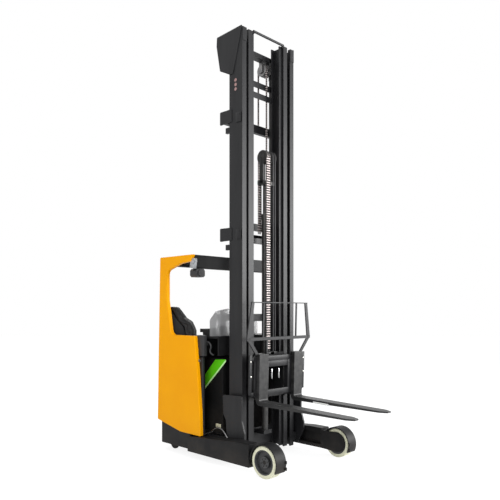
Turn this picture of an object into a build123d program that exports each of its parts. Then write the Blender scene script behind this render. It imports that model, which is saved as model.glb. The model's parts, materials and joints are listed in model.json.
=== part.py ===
"""Reach truck for a warehouse: three wheeled truck with two straddle legs, a moving mast and a seated driver.

Units are millimetres. +X points the way the forks point, +Y to the driver's left hand when they look
along the forks, +Z up. The origin is on the floor, under the middle of the truck's bounding box.
Pieces that come in pairs are drawn on the left (+Y) side and mirrored to the right.
"""
from build123d import *
import os
from math import radians, sin

os.makedirs("parts", exist_ok=True)

# Driving sizes: whole truck
TRUCK_WIDTH = 1268          # over the two legs
CHASSIS_WIDTH = 1208        # over the side panels
GUARD_HEIGHT = 2165         # floor to top of the overhead guard
REAR_X = -1258              # furthest point of the bulged rear
FORK_TIP_X = 1260
CHASSIS_BOTTOM = 83
CHASSIS_TOP = 360           # floor of the driver's compartment
FRAME_WALL = 18             # steel of the lower chassis

# Driving sizes: load wheels and legs
LOAD_AXLE_X = 475
LOAD_WHEEL_R = 152
LOAD_WHEEL_WIDTH = 108
LOAD_TREAD = 34             # thickness of the polyurethane ring
LOAD_AXLE_R = 20
LEG_WIDTH = 134
LEG_TOP = 265
LEG_BOTTOM = 70
LEG_ROOT_X = -620
LEG_END_X = 290
LEG_PLATE = 12              # inner plate that carries the load axle
GUARD_BAND = 11             # steel band over the load wheel
GUARD_BAND_GAP = 8

# Driving sizes: drive wheel and castor
DRIVE_X, DRIVE_Y = -1030, 150
DRIVE_WHEEL_R = 160
DRIVE_WHEEL_WIDTH = 105
DRUM_R = 186                # round well that the drive unit turns in
DRUM_WALL = 12
DRUM_TOP = 430
CASTOR_X, CASTOR_Y = -1010, -470
CASTOR_WHEEL_R = 65
CASTOR_WHEEL_WIDTH = 32
CASTOR_TRAIL = 30

# Driving sizes: mast
MAST_FRONT_X = -25
MAST_DEPTH = 190
MAST_HALF_WIDTH = 404       # outer face of the outer channels
MAST_TOP = 4478
MAST_BOTTOM = 65
OUTER_FLANGE = 60
MIDDLE_OUTER_Y = 304        # outer face of the middle channels
INNER_OUTER_Y = 262         # outer face of the inner channels
STAGE_STEP_X = 8            # each stage is set back this much from the one around it

# Driving sizes: carriage and forks
FORK_CENTRE_Y = 271
FORK_WIDTH = 130
FORK_THICKNESS = 42
FORK_FACE_X = 145           # front face of the upright shank
FORK_HEEL_TOP = 650
SHANK_TOP = 1128
FORK_DROOP_DEG = 1.6        # the photographed forks lean a little down
TILT_X, TILT_Z = 63, 700    # pivot of the tilting frame
BACKREST_TOP = 1655

# Named clearances
RUN_GAP = 0.09              # radial gap of a shaft in its bore
SEAT_GAP = 0.3              # between pieces that only touch
MOVE_GAP = 6                # between pieces that pass each other

HALF_WIDTH = TRUCK_WIDTH / 2
PANEL_Y = CHASSIS_WIDTH / 2
LEG_INNER_Y = HALF_WIDTH - LEG_WIDTH


def block(x0, x1, y0, y1, z0, z1):
    """A box given by its two corners."""
    return Pos((x0 + x1) / 2, (y0 + y1) / 2, (z0 + z1) / 2) * Box(x1 - x0, y1 - y0, z1 - z0)


def bar_x(y, z, r, x0, x1):
    """A round bar along X."""
    return Pos((x0 + x1) / 2, y, z) * Rot(0, 90, 0) * Cylinder(r, x1 - x0)


def bar_y(x, z, r, y0, y1):
    """A round bar along Y."""
    return Pos(x, (y0 + y1) / 2, z) * Rot(90, 0, 0) * Cylinder(r, y1 - y0)


def bar_z(x, y, r, z0, z1):
    """A round bar along Z."""
    return Pos(x, y, (z0 + z1) / 2) * Cylinder(r, z1 - z0)


def outline(corners):
    """A closed flat face from (u, v, corner radius) rows."""
    face = make_face(Polyline(*[(u, v) for u, v, r in corners], close=True))
    for u, v, r in corners:
        if r > 0:
            corner = face.vertices().sort_by_distance((u, v, 0))[0]
            face = fillet(corner, r)
    return face


def side_plate(corners, y0, y1):
    """A plate whose (X, Z) outline is seen from the side, between two Y values."""
    return Pos(0, y1, 0) * extrude(Plane.XZ * outline(corners), y1 - y0)


def cross_plate(corners, x0, x1):
    """A plate whose (Y, Z) outline is seen from the front, between two X values."""
    return Pos(x0, 0, 0) * extrude(Plane.YZ * outline(corners), x1 - x0)


def mirrored(part):
    """The same piece on the right hand side of the truck."""
    return mirror(part, about=Plane.XZ)


def both_sides(part):
    """The left piece together with its mirror image."""
    return part + mirrored(part)


def drooped(part):
    """Turn a piece down about the tilt pivot, by the angle at which the forks rest."""
    return Pos(TILT_X, 0, TILT_Z) * Rot(0, FORK_DROOP_DEG, 0) * Pos(-TILT_X, 0, -TILT_Z) * part


def wheel(rows, x, y, z):
    """A turned piece on an axle along Y, from (radius, offset along the axle) rows."""
    turned = revolve(Plane.XZ * make_face(Polyline(*rows, close=True)), Axis.Z)
    return Pos(x, y, z) * Rot(-90, 0, 0) * turned


def save(name, part):
    export_step(part, f"parts/{name}.step")


# Lower chassis: a steel tub with an open underside, drawn with a bulged rear
CHASSIS_FRONT_X = LEG_ROOT_X
REAR_CORNER_X = REAR_X + 108
COVER_PROUD = 14            # the rear cover stands out past the steel by this much
WALL_Y = PANEL_Y - 4


def rear_outline(inset, front_x):
    """Plan view of the rear, with its bulge, pulled in by a distance."""
    side = WALL_Y - inset
    corner = REAR_CORNER_X + 45 + inset
    bulge = REAR_X + COVER_PROUD + inset
    edge = Polyline((corner, side), (front_x, side), (front_x, -side), (corner, -side))
    round_left = ThreePointArc((corner, side), (REAR_CORNER_X + 8 + inset, side - 22), (REAR_CORNER_X - 12 + inset, side - 70))
    back = ThreePointArc((REAR_CORNER_X - 12 + inset, side - 70), (bulge, 0), (REAR_CORNER_X - 12 + inset, 70 - side))
    round_right = ThreePointArc((REAR_CORNER_X - 12 + inset, 70 - side), (REAR_CORNER_X + 8 + inset, 22 - side), (corner, -side))
    return make_face([edge, round_left, back, round_right])


BATTERY_REAR_X = -570
BATTERY_FRONT_X = -298
BATTERY_HALF_WIDTH = 420
BATTERY_BOTTOM = 280
BATTERY_TOP = 1062
TRAY = 16
PARTITION_X = -604          # rear face of the wall behind the battery
SILL_Z = 1297
DECK = 14
REACH_Y, REACH_Z = -150, 172
REACH_BARREL_R, REACH_ROD_R = 34, 18
TURRET_R = 110              # slewing ring of the drive unit


def make_chassis_base():
    tub = extrude(rear_outline(0, CHASSIS_FRONT_X), CHASSIS_TOP - CHASSIS_BOTTOM)
    hollow = extrude(rear_outline(FRAME_WALL, CHASSIS_FRONT_X - FRAME_WALL), CHASSIS_TOP - CHASSIS_BOTTOM - DECK)
    body = Pos(0, 0, CHASSIS_BOTTOM) * (tub - hollow)
    body += bar_z(DRIVE_X, DRIVE_Y, DRUM_R, CHASSIS_TOP - DECK, DRUM_TOP)
    body -= bar_z(DRIVE_X, DRIVE_Y, DRUM_R - DRUM_WALL, CHASSIS_TOP - 2 * DECK, DRUM_TOP - DRUM_WALL)
    body -= bar_z(DRIVE_X, DRIVE_Y, TURRET_R + MOVE_GAP, DRUM_TOP - 2 * DRUM_WALL, DRUM_TOP + 1)
    partition = block(PARTITION_X, PARTITION_X + TRAY, -500, 500, BATTERY_BOTTOM - TRAY, SILL_Z - 40)
    tray = block(CHASSIS_FRONT_X - 1, BATTERY_FRONT_X, -440, 440, BATTERY_BOTTOM - TRAY, BATTERY_BOTTOM)
    body -= bar_x(REACH_Y, REACH_Z, REACH_BARREL_R + SEAT_GAP, CHASSIS_FRONT_X - 50, CHASSIS_FRONT_X + 1)
    gusset = block(CHASSIS_FRONT_X - 40, PARTITION_X + TRAY, -500, 500, BATTERY_BOTTOM - TRAY, CHASSIS_TOP)
    return body + gusset + partition + tray


# Straddle legs: box sections with a channel for the reach rollers and an end plate for the load wheel
ROLLER_Z = 170
ROLLER_R = 58
CHANNEL_HALF = ROLLER_R + 6
CHANNEL_DEPTH = 48
WHEEL_PLATE_R = 108
WHEEL_IN_Y = LEG_INNER_Y + LEG_PLATE + 5
WHEEL_OUT_Y = WHEEL_IN_Y + LOAD_WHEEL_WIDTH


LEG_ROOT_TOP = 226
LEG_CREST_X = 100
LEG_CREST_TOP = LEG_TOP + 22


def leg_top(x):
    """Height of the leg's sloping top at a place along it."""
    slope = (LEG_CREST_TOP - LEG_ROOT_TOP) / (LEG_CREST_X - LEG_ROOT_X)
    return LEG_ROOT_TOP + slope * (x - LEG_ROOT_X)


def make_leg():
    beam = side_plate([(LEG_ROOT_X, LEG_BOTTOM, 0), (LEG_END_X, LEG_BOTTOM, 0), (LEG_END_X, LEG_CREST_TOP, 0),
                       (LEG_CREST_X, LEG_CREST_TOP, 120), (LEG_ROOT_X, LEG_ROOT_TOP, 0)], LEG_INNER_Y, HALF_WIDTH)
    top_outer = beam.edges().filter_by(GeomType.LINE).filter_by_position(Axis.Y, HALF_WIDTH - 1, HALF_WIDTH + 1)
    beam = fillet(top_outer.filter_by_position(Axis.Z, LEG_ROOT_TOP - 5, LEG_CREST_TOP + 5).filter_by(Axis.Z, reverse=True), 14)
    beam -= block(LEG_ROOT_X - 1, LEG_END_X - 12, LEG_INNER_Y - 1, LEG_INNER_Y + CHANNEL_DEPTH,
                  ROLLER_Z - CHANNEL_HALF, ROLLER_Z + CHANNEL_HALF)
    reach = LOAD_AXLE_X + WHEEL_PLATE_R
    plate = side_plate([(LEG_END_X - 1, LEG_BOTTOM, 0), (reach, LOAD_WHEEL_R - WHEEL_PLATE_R + 12, 90), (reach, LEG_TOP, 96),
                        (LEG_END_X - 1, LEG_TOP, 0)], LEG_INNER_Y, LEG_INNER_Y + LEG_PLATE)
    axle = bar_y(LOAD_AXLE_X, LOAD_WHEEL_R, LOAD_AXLE_R, LEG_INNER_Y + 1, WHEEL_OUT_Y - 12)
    boss = bar_y(LOAD_AXLE_X, LOAD_WHEEL_R, LOAD_AXLE_R + 14, LEG_INNER_Y + 1, WHEEL_IN_Y - SEAT_GAP)
    return beam + plate + axle + boss


def make_wheel_guard():
    """Band over the load wheel, with two small lugs low on its front."""
    inner = LOAD_WHEEL_R + GUARD_BAND_GAP
    outer = inner + GUARD_BAND
    band = Circle(outer) - Circle(inner)
    keep = Polyline((0, 0), (-LEG_END_X - outer, 0), (-LEG_END_X - outer, 3 * outer), (3 * outer, 3 * outer),
                    (3 * outer, -0.46 * outer), (0.2 * outer, -0.46 * outer), close=True)
    band = band & make_face(keep)
    solid = Pos(LOAD_AXLE_X, HALF_WIDTH, LOAD_WHEEL_R) * extrude(Plane.XZ * band, HALF_WIDTH - LEG_INNER_Y)
    solid -= block(LOAD_AXLE_X - 2 * outer, LEG_END_X + SEAT_GAP, 0, 2 * HALF_WIDTH, 0, 2 * LEG_TOP)
    solid -= block(LOAD_AXLE_X - outer, LOAD_AXLE_X + WHEEL_PLATE_R + SEAT_GAP, LEG_INNER_Y - 1,
                   LEG_INNER_Y + LEG_PLATE + SEAT_GAP, 0, LEG_TOP + SEAT_GAP)
    for lug_z in (105, 165):
        solid += block(LOAD_AXLE_X + outer - 8, LOAD_AXLE_X + outer + 9, LEG_INNER_Y, LEG_INNER_Y + 16,
                       lug_z - 14, lug_z + 14)
    return solid


TYRE_SHOULDER = 8
HUB_RIM = 12
HUB_BOSS_R = 54


def make_load_tyre():
    """Polyurethane ring with bevelled shoulders."""
    half = LOAD_WHEEL_WIDTH / 2
    inner = LOAD_WHEEL_R - LOAD_TREAD
    shoulder_r = LOAD_WHEEL_R - TYRE_SHOULDER
    rows = [(inner, -half), (shoulder_r, -half), (LOAD_WHEEL_R, TYRE_SHOULDER - half),
            (LOAD_WHEEL_R, half - TYRE_SHOULDER), (shoulder_r, half), (inner, half)]
    return wheel(rows, LOAD_AXLE_X, WHEEL_IN_Y + half, LOAD_WHEEL_R)


def make_load_hub():
    """Dished cast hub: rim, web set in from the outer face, and bearing boss."""
    half = LOAD_WHEEL_WIDTH / 2
    rim_r = LOAD_WHEEL_R - LOAD_TREAD - SEAT_GAP
    bore = LOAD_AXLE_R + RUN_GAP
    rows = [(bore, -half), (rim_r, -half), (rim_r, half), (rim_r - HUB_RIM, half), (rim_r - HUB_RIM - 8, half - 34),
            (HUB_BOSS_R, half - 40), (HUB_BOSS_R, half - 12), (bore, half - 12)]
    return wheel(rows, LOAD_AXLE_X, WHEEL_IN_Y + half, LOAD_WHEEL_R)


# Drive unit: turret, gear case beside the wheel and the driven wheel
def make_drive_unit():
    """Turret with its slewing flange, neck over the wheel and gear case beside it."""
    case_y = DRIVE_Y + DRIVE_WHEEL_WIDTH / 2 + 8
    neck_bottom = 2 * DRIVE_WHEEL_R + 12
    neck_top = DRUM_TOP - DRUM_WALL - 12
    turret = bar_z(DRIVE_X, DRIVE_Y, TURRET_R, neck_bottom + 20, DRUM_TOP + 40)
    flange = bar_z(DRIVE_X, DRIVE_Y, TURRET_R + 24, DRUM_TOP + SEAT_GAP, DRUM_TOP + 14)
    neck = block(DRIVE_X - 70, DRIVE_X + 70, DRIVE_Y - 60, case_y + 52, neck_bottom, neck_top)
    case = side_plate([(DRIVE_X - 74, neck_top, 10), (DRIVE_X + 74, neck_top, 10),
                       (DRIVE_X + 58, DRIVE_WHEEL_R - 62, 50), (DRIVE_X - 58, DRIVE_WHEEL_R - 62, 50)],
                      case_y, case_y + 52)
    shaft = bar_y(DRIVE_X, DRIVE_WHEEL_R, DRIVE_AXLE_R, DRIVE_Y - DRIVE_WHEEL_WIDTH / 2 + 10, case_y + 1)
    return turret + flange + neck + case + shaft


DRIVE_AXLE_R = 24


def make_drive_wheel():
    half = DRIVE_WHEEL_WIDTH / 2
    bore = DRIVE_AXLE_R + RUN_GAP
    rows = [(bore, -half + 20), (110, -half), (DRIVE_WHEEL_R - TYRE_SHOULDER, -half), (DRIVE_WHEEL_R, TYRE_SHOULDER - half),
            (DRIVE_WHEEL_R, half - TYRE_SHOULDER), (DRIVE_WHEEL_R - TYRE_SHOULDER, half), (bore, half)]
    return wheel(rows, DRIVE_X, DRIVE_Y, DRIVE_WHEEL_R)


def make_drive_motor():
    """Upright traction motor over the turret, one plain block on a two legged bracket."""
    bottom = DRUM_TOP + 40 + MOVE_GAP
    top = bottom + 240
    leg_out, leg_in = DRUM_R - 34, DRUM_R - 50
    motor = bar_z(DRIVE_X, DRIVE_Y, 95, bottom, top)
    motor += block(DRIVE_X - 22, DRIVE_X + 22, DRIVE_Y - leg_out, DRIVE_Y + leg_out, top - 30, top)
    for y in (DRIVE_Y - leg_out, DRIVE_Y + leg_in):
        motor += block(DRIVE_X - 22, DRIVE_X + 22, y, y + leg_out - leg_in, DRUM_TOP + SEAT_GAP, top)
    return motor


# Twin castor under the right rear corner
CASTOR_WHEEL_X = CASTOR_X - CASTOR_TRAIL
FORK_PLATE = 6
CASTOR_AXLE_R = 9


def make_castor_fork():
    half = CASTOR_WHEEL_WIDTH / 2
    top_z = 2 * CASTOR_WHEEL_R + 8
    cheek = side_plate([(CASTOR_WHEEL_X - 16, CASTOR_WHEEL_R - 16, 12), (CASTOR_WHEEL_X + 16, CASTOR_WHEEL_R - 16, 12),
                        (CASTOR_X + 30, top_z + 10, 0), (CASTOR_X - 45, top_z + 10, 0)], half + 3, half + 3 + FORK_PLATE)
    cheeks = both_sides(cheek)
    crown = block(CASTOR_X - 45, CASTOR_X + 30, -half - 3 - FORK_PLATE, half + 3 + FORK_PLATE, top_z, top_z + 10)
    axle = bar_y(CASTOR_WHEEL_X, CASTOR_WHEEL_R, CASTOR_AXLE_R, -half - 4, half + 4)
    stem = bar_z(CASTOR_X, 0, 26, top_z + 9, CHASSIS_TOP - DECK - SEAT_GAP)
    return Pos(0, CASTOR_Y, 0) * (cheeks + crown + axle + stem)


def make_castor_wheel():
    half = CASTOR_WHEEL_WIDTH / 2
    bore = CASTOR_AXLE_R + RUN_GAP
    shoulder = 6
    rows = [(bore, -half), (CASTOR_WHEEL_R - shoulder, -half), (CASTOR_WHEEL_R, shoulder - half),
            (CASTOR_WHEEL_R, half - shoulder), (CASTOR_WHEEL_R - shoulder, half), (bore, half)]
    return wheel(rows, CASTOR_WHEEL_X, CASTOR_Y, CASTOR_WHEEL_R)


# Body panels
PANEL_THICKNESS = 40
PANEL_RIM = 7
RIGHT_PANEL = [
    (-1192, 332, 12), (-1173, 1117, 0), (-1145, GUARD_HEIGHT, 14),
    (-576, GUARD_HEIGHT, 0), (-614, 2092, 0), (-784, 2078, 60), (-1015, 2008, 60),
    (-1015, 1684, 60), (-940, SILL_Z, 70), (-540, SILL_Z, 16),
    (-486, 836, 60), (-456, 500, 60), (-447, leg_top(-447) + 4, 10), (-784, 249, 0),
]


def make_right_side_panel():
    plate = side_plate(RIGHT_PANEL, -PANEL_Y, -PANEL_Y + PANEL_THICKNESS)
    rim = plate.edges().filter_by_position(Axis.Y, -PANEL_Y - 0.5, -PANEL_Y + 0.5)
    plate = fillet(rim, PANEL_RIM)
    # the lower part of the panel hangs outside the steel tub
    return plate - (Pos(0, 0, CHASSIS_BOTTOM) * extrude(rear_outline(-SEAT_GAP, CHASSIS_FRONT_X + SEAT_GAP),
                                                        CHASSIS_TOP - CHASSIS_BOTTOM + SEAT_GAP))


COVER_WALL = 22
COVER_TOP = 1120
COVER_FRONT_X = -1158


def make_rear_cover():
    """Rounded skin over the rear with a closed top, between the two side panels."""
    height = COVER_TOP - CHASSIS_TOP - SEAT_GAP
    outer = extrude(rear_outline(-COVER_PROUD, COVER_FRONT_X), height)
    inner = extrude(rear_outline(COVER_WALL - COVER_PROUD, COVER_FRONT_X + 100), height - COVER_WALL)
    shell = Pos(0, 0, CHASSIS_TOP + SEAT_GAP) * (outer - inner)
    edge = PANEL_Y - PANEL_THICKNESS - SEAT_GAP
    return shell & block(REAR_X - 50, COVER_FRONT_X, -edge, edge, 0, 3000)


LEFT_PANEL = [(-1190, CHASSIS_TOP - 30, 12), (-1175, 1090, 50), (-960, 1060, 120), (-900, 700, 90),
              (-866, CHASSIS_TOP - 30, 12)]


def make_left_side_panel():
    plate = side_plate(LEFT_PANEL, PANEL_Y - PANEL_THICKNESS, PANEL_Y)
    rim = plate.edges().filter_by_position(Axis.Y, PANEL_Y - 0.5, PANEL_Y + 0.5)
    plate = chamfer(rim, PANEL_RIM)
    return plate - (Pos(0, 0, CHASSIS_BOTTOM) * extrude(rear_outline(-SEAT_GAP, CHASSIS_FRONT_X + SEAT_GAP),
                                                        CHASSIS_TOP - CHASSIS_BOTTOM + SEAT_GAP))


# Overhead guard with its left posts
RAIL = 48
ROOF_BARS = 8
POST_Y0, POST_Y1 = 512, 560
ROOF_BAR = 12


def make_overhead_guard():
    rail_bottom = 2092
    inner_right = -PANEL_Y + PANEL_THICKNESS + SEAT_GAP
    front = block(-640, -580, inner_right, PANEL_Y, 2020, GUARD_HEIGHT)
    front = fillet(front.edges().filter_by(Axis.Y), 10)
    left_rail = block(-1140, -600, PANEL_Y - RAIL, PANEL_Y, rail_bottom, GUARD_HEIGHT - 2)
    rear = block(-1140, -1085, inner_right, PANEL_Y, rail_bottom - 20, GUARD_HEIGHT - 2)
    guard = front + left_rail + rear
    pitch = (PANEL_Y - RAIL - inner_right) / (ROOF_BARS + 1)
    for k in range(ROOF_BARS):
        y = inner_right + pitch * (k + 1)
        guard += block(-1100, -620, y - ROOF_BAR / 2, y + ROOF_BAR / 2, rail_bottom + 6, GUARD_HEIGHT - 8)
    rear_post = side_plate([(-1150, CHASSIS_TOP + SEAT_GAP, 0), (-1104, CHASSIS_TOP + SEAT_GAP, 0), (-1104, 1150, 200),
                            (-1086, rail_bottom + 1, 0), (-1136, rail_bottom + 1, 0), (-1150, 1150, 200)],
                           POST_Y0, POST_Y1)
    front_post = side_plate([(-500, leg_top(-500) + SEAT_GAP, 0), (-448, leg_top(-448) + SEAT_GAP, 0), (-448, 1290, 200),
                             (-582, 2030, 0), (-634, 2030, 0), (-500, 1290, 200)], PANEL_Y - RAIL, PANEL_Y)
    return guard + rear_post + front_post


def make_side_post():
    """Grey upright at the right front corner of the compartment, standing on the leg."""
    x0, x1 = -475, -425
    post = side_plate([(x0, leg_top(x0) + SEAT_GAP, 0), (x1, leg_top(x1) + SEAT_GAP, 0), (x1, SILL_Z + 6, 16),
                       (x0, SILL_Z + 6, 16)], -562, -522)
    return post


# Driver's place
SEAT_X, SEAT_Y = -880, -190
SEAT_TURN = -8              # the seat faces left and a little to the forks
CUSHION_BOTTOM, CUSHION_TOP = 800, 905
BACK_Y = -200               # front of the backrest, from the seat's middle
BACK_THICKNESS = 90
BACK_BOTTOM = CUSHION_TOP + 60
BACK_LEAN = 4


def placed_seat(part):
    return Pos(SEAT_X, SEAT_Y, 0) * Rot(0, 0, SEAT_TURN) * part


def make_seat_base():
    """Seat pedestal: box on the deck, slide frame, and the spine that carries the backrest."""
    pedestal = block(-170, 170, -150, 110, CHASSIS_TOP + DECK + SEAT_GAP, 762)
    pedestal = fillet(pedestal.edges().filter_by(Axis.Z), 40)
    frame = block(-205, 205, -190, 190, 760, CUSHION_BOTTOM)
    spine_depth = 60
    spine_top = BACK_BOTTOM - spine_depth * sin(radians(BACK_LEAN)) - SEAT_GAP
    spine = block(-55, 55, BACK_Y - spine_depth, BACK_Y - 20, 770, spine_top) + block(-55, 55, BACK_Y - 60, -180, 770, 795)
    return placed_seat(pedestal + frame + spine)


def make_seat_cushion():
    pad = block(-232, 232, -195, 215, CUSHION_BOTTOM + SEAT_GAP, CUSHION_TOP)
    pad = fillet(pad.edges().filter_by(Axis.Z), 60)
    pad -= block(-60, 60, -200, -175, CUSHION_BOTTOM - 9, CUSHION_TOP + 9)
    return placed_seat(pad)


def make_seat_backrest():
    """Backrest pad, narrower towards its rounded top and leaning a little back."""
    face = outline([(-222, 0, 45), (222, 0, 45), (205, 470, 60), (118, 650, 45), (-118, 650, 45), (-205, 470, 60)])
    pad = extrude(Plane.XZ * face, BACK_THICKNESS)
    return placed_seat(Pos(0, BACK_Y, BACK_BOTTOM) * Rot(BACK_LEAN, 0, 0) * pad)


CONTROL_X0, CONTROL_X1 = -585, -470


def make_armrest():
    """Hydraulic control box on the battery cover, with the driver's armrest at its side."""
    base_z = SILL_Z - 4 + SEAT_GAP
    box = block(CONTROL_X0, CONTROL_X1, -460, -150, base_z, 1368)
    box = fillet(box.edges().filter_by(Axis.Z), 20)
    pad = block(CONTROL_X0 - 75, CONTROL_X0 + 30, -440, -170, 1330, 1368)
    pad = fillet(pad.edges().filter_by(Axis.Z), 30)
    head = block(CONTROL_X0 + 10, CONTROL_X1 - 10, -260, -170, 1360, 1402)
    return box + pad + head


CONSOLE_REAR_X, CONSOLE_FRONT_X = -1096, -900
WHEEL_X, WHEEL_Y, WHEEL_Z = -998, 330, 1070
WHEEL_LEAN = 25


def make_steering_console():
    """Console over the drive unit, sloped on the driver's side and open at its back."""
    right, left, top, wall = 20, PANEL_Y - PANEL_THICKNESS - 1, 1050, 18
    base_z = CHASSIS_TOP + SEAT_GAP
    body = cross_plate([(right, base_z, 0), (left, base_z, 0), (left, top, 60), (300, top, 60), (120, 880, 120),
                        (right, 720, 40)], CONSOLE_REAR_X, CONSOLE_FRONT_X)
    inside = cross_plate([(right + wall, base_z - 1, 0), (left - wall, base_z - 1, 0), (left - wall, top - wall, 42),
                          (308, top - wall, 50), (134, 872, 110), (right + wall, 714, 30)],
                         CONSOLE_REAR_X - 1, CONSOLE_FRONT_X - wall)
    column = Pos(WHEEL_X, WHEEL_Y, WHEEL_Z) * Rot(-WHEEL_LEAN, 0, 0) * Cylinder(34, 120)
    body = body - inside + column
    body -= bar_z(DRIVE_X, DRIVE_Y, DRUM_R + SEAT_GAP, 0, DRUM_TOP + SEAT_GAP)
    body -= bar_z(DRIVE_X, DRIVE_Y, TURRET_R + 24 + MOVE_GAP, 0, DRUM_TOP + 40 + MOVE_GAP)
    return body - block(DRIVE_X - 30, DRIVE_X + 30, -99, 50, 0, 740)


RING_R, RING_THICK = 115, 12


def make_steering_wheel():
    """Small wheel with an eight sided grip ring, four spokes and a spinner knob."""
    grip = Pos(RING_R, 0, 0) * Plane.XZ * RegularPolygon(RING_THICK, 8)
    ring = revolve(grip, Axis.Z)
    spokes = Box(2 * RING_R - 4, 26, RING_THICK) + Box(26, 2 * RING_R - 4, RING_THICK)
    boss = Cylinder(36, 30)
    knob = Pos(100, 54, 26) * Cylinder(16, 40)
    whole = Pos(0, 0, 60 + 15 + SEAT_GAP) * (ring + spokes + boss + knob)
    return Pos(WHEEL_X, WHEEL_Y, WHEEL_Z) * Rot(-WHEEL_LEAN, 0, 0) * whole


def make_floor_mat():
    mat = block(-1096, PARTITION_X - SEAT_GAP, -PANEL_Y + PANEL_THICKNESS + 4, PANEL_Y - PANEL_THICKNESS - 4,
                CHASSIS_TOP + SEAT_GAP, CHASSIS_TOP + DECK)
    mat -= block(-1100, CONSOLE_FRONT_X + SEAT_GAP, 19, PANEL_Y, CHASSIS_TOP - 1, CHASSIS_TOP + 99)
    return mat - bar_z(DRIVE_X, DRIVE_Y, DRUM_R + 3, CHASSIS_TOP - 1, CHASSIS_TOP + 99)


# Battery and its cover
def make_battery():
    case = block(BATTERY_REAR_X, BATTERY_FRONT_X, -BATTERY_HALF_WIDTH, BATTERY_HALF_WIDTH,
                 BATTERY_BOTTOM + SEAT_GAP, BATTERY_TOP)
    case = fillet(case.edges().filter_by(Axis.Z), 8)
    return case


HOOD_HALF_WIDTH = 500


def make_battery_hood():
    """Cover over the battery: a thin top with a rear flange, open below and at its ends."""
    top = block(PARTITION_X - 21, BATTERY_FRONT_X, -HOOD_HALF_WIDTH, HOOD_HALF_WIDTH, SILL_Z - 24, SILL_Z - 4)
    top = fillet(top.edges().filter_by(Axis.Z), 20)
    skirt = block(BATTERY_FRONT_X - 14, BATTERY_FRONT_X, -HOOD_HALF_WIDTH + 20, HOOD_HALF_WIDTH - 20, BATTERY_TOP + 30, SILL_Z - 20)
    hang = block(PARTITION_X + TRAY + SEAT_GAP, PARTITION_X + TRAY + 12, -HOOD_HALF_WIDTH + 20, HOOD_HALF_WIDTH - 20,
                 BATTERY_TOP + 30, SILL_Z - 20)
    return top + skirt + hang


SCREEN_X = -425
SCREEN_OUTLINE = [(-487, SILL_Z - 4, 0), (-487, 1466, 30), (-400, 1560, 60), (-230, 1588, 90), (30, 1560, 80),
                  (160, 1490, 60), (234, 1440, 40), (234, SILL_Z - 4, 0)]


def make_screen():
    sheet = cross_plate(SCREEN_OUTLINE, SCREEN_X - 4, SCREEN_X + 4)
    return Pos(0, 0, SEAT_GAP) * sheet


def make_work_lamp():
    """Lamp housing hung under the front corner of the guard, with its round lens forward."""
    housing = block(-660, -560, -566, -440, 1925, 2014)
    housing = chamfer(housing.edges().filter_by(Axis.X), 18)
    lens = bar_x(-503, 1970, 34, -560, -552)
    stem = block(-625, -595, -520, -490, 2010, 2020 - SEAT_GAP)
    return housing + lens + stem


# Reach carriage: side plates with rollers in the legs, cross tubes and feet for the mast
PLATE_IN_Y = 455
PLATE_OUT_Y = 475
ROLLER_XS = (-500, -330)
REACH_TUBE_X = -440
MAST_REAR_X = MAST_FRONT_X - MAST_DEPTH


def make_reach_carriage():
    arm = side_plate([(-545, 120, 20), (MAST_FRONT_X + 20, 95, 10), (MAST_FRONT_X + 100, 250, 10), (MAST_FRONT_X + 100, 336, 40),
                      (MAST_FRONT_X + 60, 450, 40), (MAST_FRONT_X + 60, 706, 14), (MAST_REAR_X - 26, 693, 14),
                      (MAST_REAR_X - 18, 499, 20), (MAST_REAR_X + 20, 441, 30), (MAST_REAR_X + 36, 262, 30),
                      (-545, 245, 20)], PLATE_IN_Y, PLATE_OUT_Y)
    foot = block(MAST_REAR_X + 6, MAST_FRONT_X - 6, MAST_HALF_WIDTH + SEAT_GAP, PLATE_IN_Y + 1, 120, 200) + \
        block(MAST_REAR_X + 6, MAST_FRONT_X - 6, MAST_HALF_WIDTH + SEAT_GAP, PLATE_IN_Y + 1, 600, 660)
    side = arm + foot
    for x in ROLLER_XS:
        side += bar_y(x, ROLLER_Z, 16, PLATE_OUT_Y - 1, LEG_INNER_Y + CHANNEL_DEPTH - 6)
    tube = block(REACH_TUBE_X, REACH_TUBE_X + 50, -PLATE_IN_Y - 1, PLATE_IN_Y + 1, 110, 235)
    tube -= block(REACH_TUBE_X + 6, REACH_TUBE_X + 44, -PLATE_IN_Y - 2, PLATE_IN_Y + 2, 116, 229)
    return both_sides(side) + tube


def make_reach_rollers():
    rollers = None
    for x in ROLLER_XS:
        ring = bar_y(x, ROLLER_Z, ROLLER_R, PLATE_OUT_Y + 6, LEG_INNER_Y + CHANNEL_DEPTH - 6)
        ring -= bar_y(x, ROLLER_Z, 16 + RUN_GAP, PLATE_OUT_Y - 9, LEG_INNER_Y + CHANNEL_DEPTH)
        pair = both_sides(ring)
        rollers = pair if rollers is None else rollers + pair
    return rollers


# Mast stages: nested channels that open inwards, with cross members behind them
def channel(outer_y, flange, front_x, depth, web, thickness, z0, z1):
    """Left hand channel section, open towards the middle of the truck."""
    profile = make_face(Polyline((front_x, outer_y), (front_x, outer_y - flange), (front_x - thickness, outer_y - flange),
                                 (front_x - thickness, outer_y - web), (front_x - depth + thickness, outer_y - web),
                                 (front_x - depth + thickness, outer_y - flange), (front_x - depth, outer_y - flange),
                                 (front_x - depth, outer_y), close=True))
    return Pos(0, 0, z0) * extrude(profile, z1 - z0)


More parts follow.
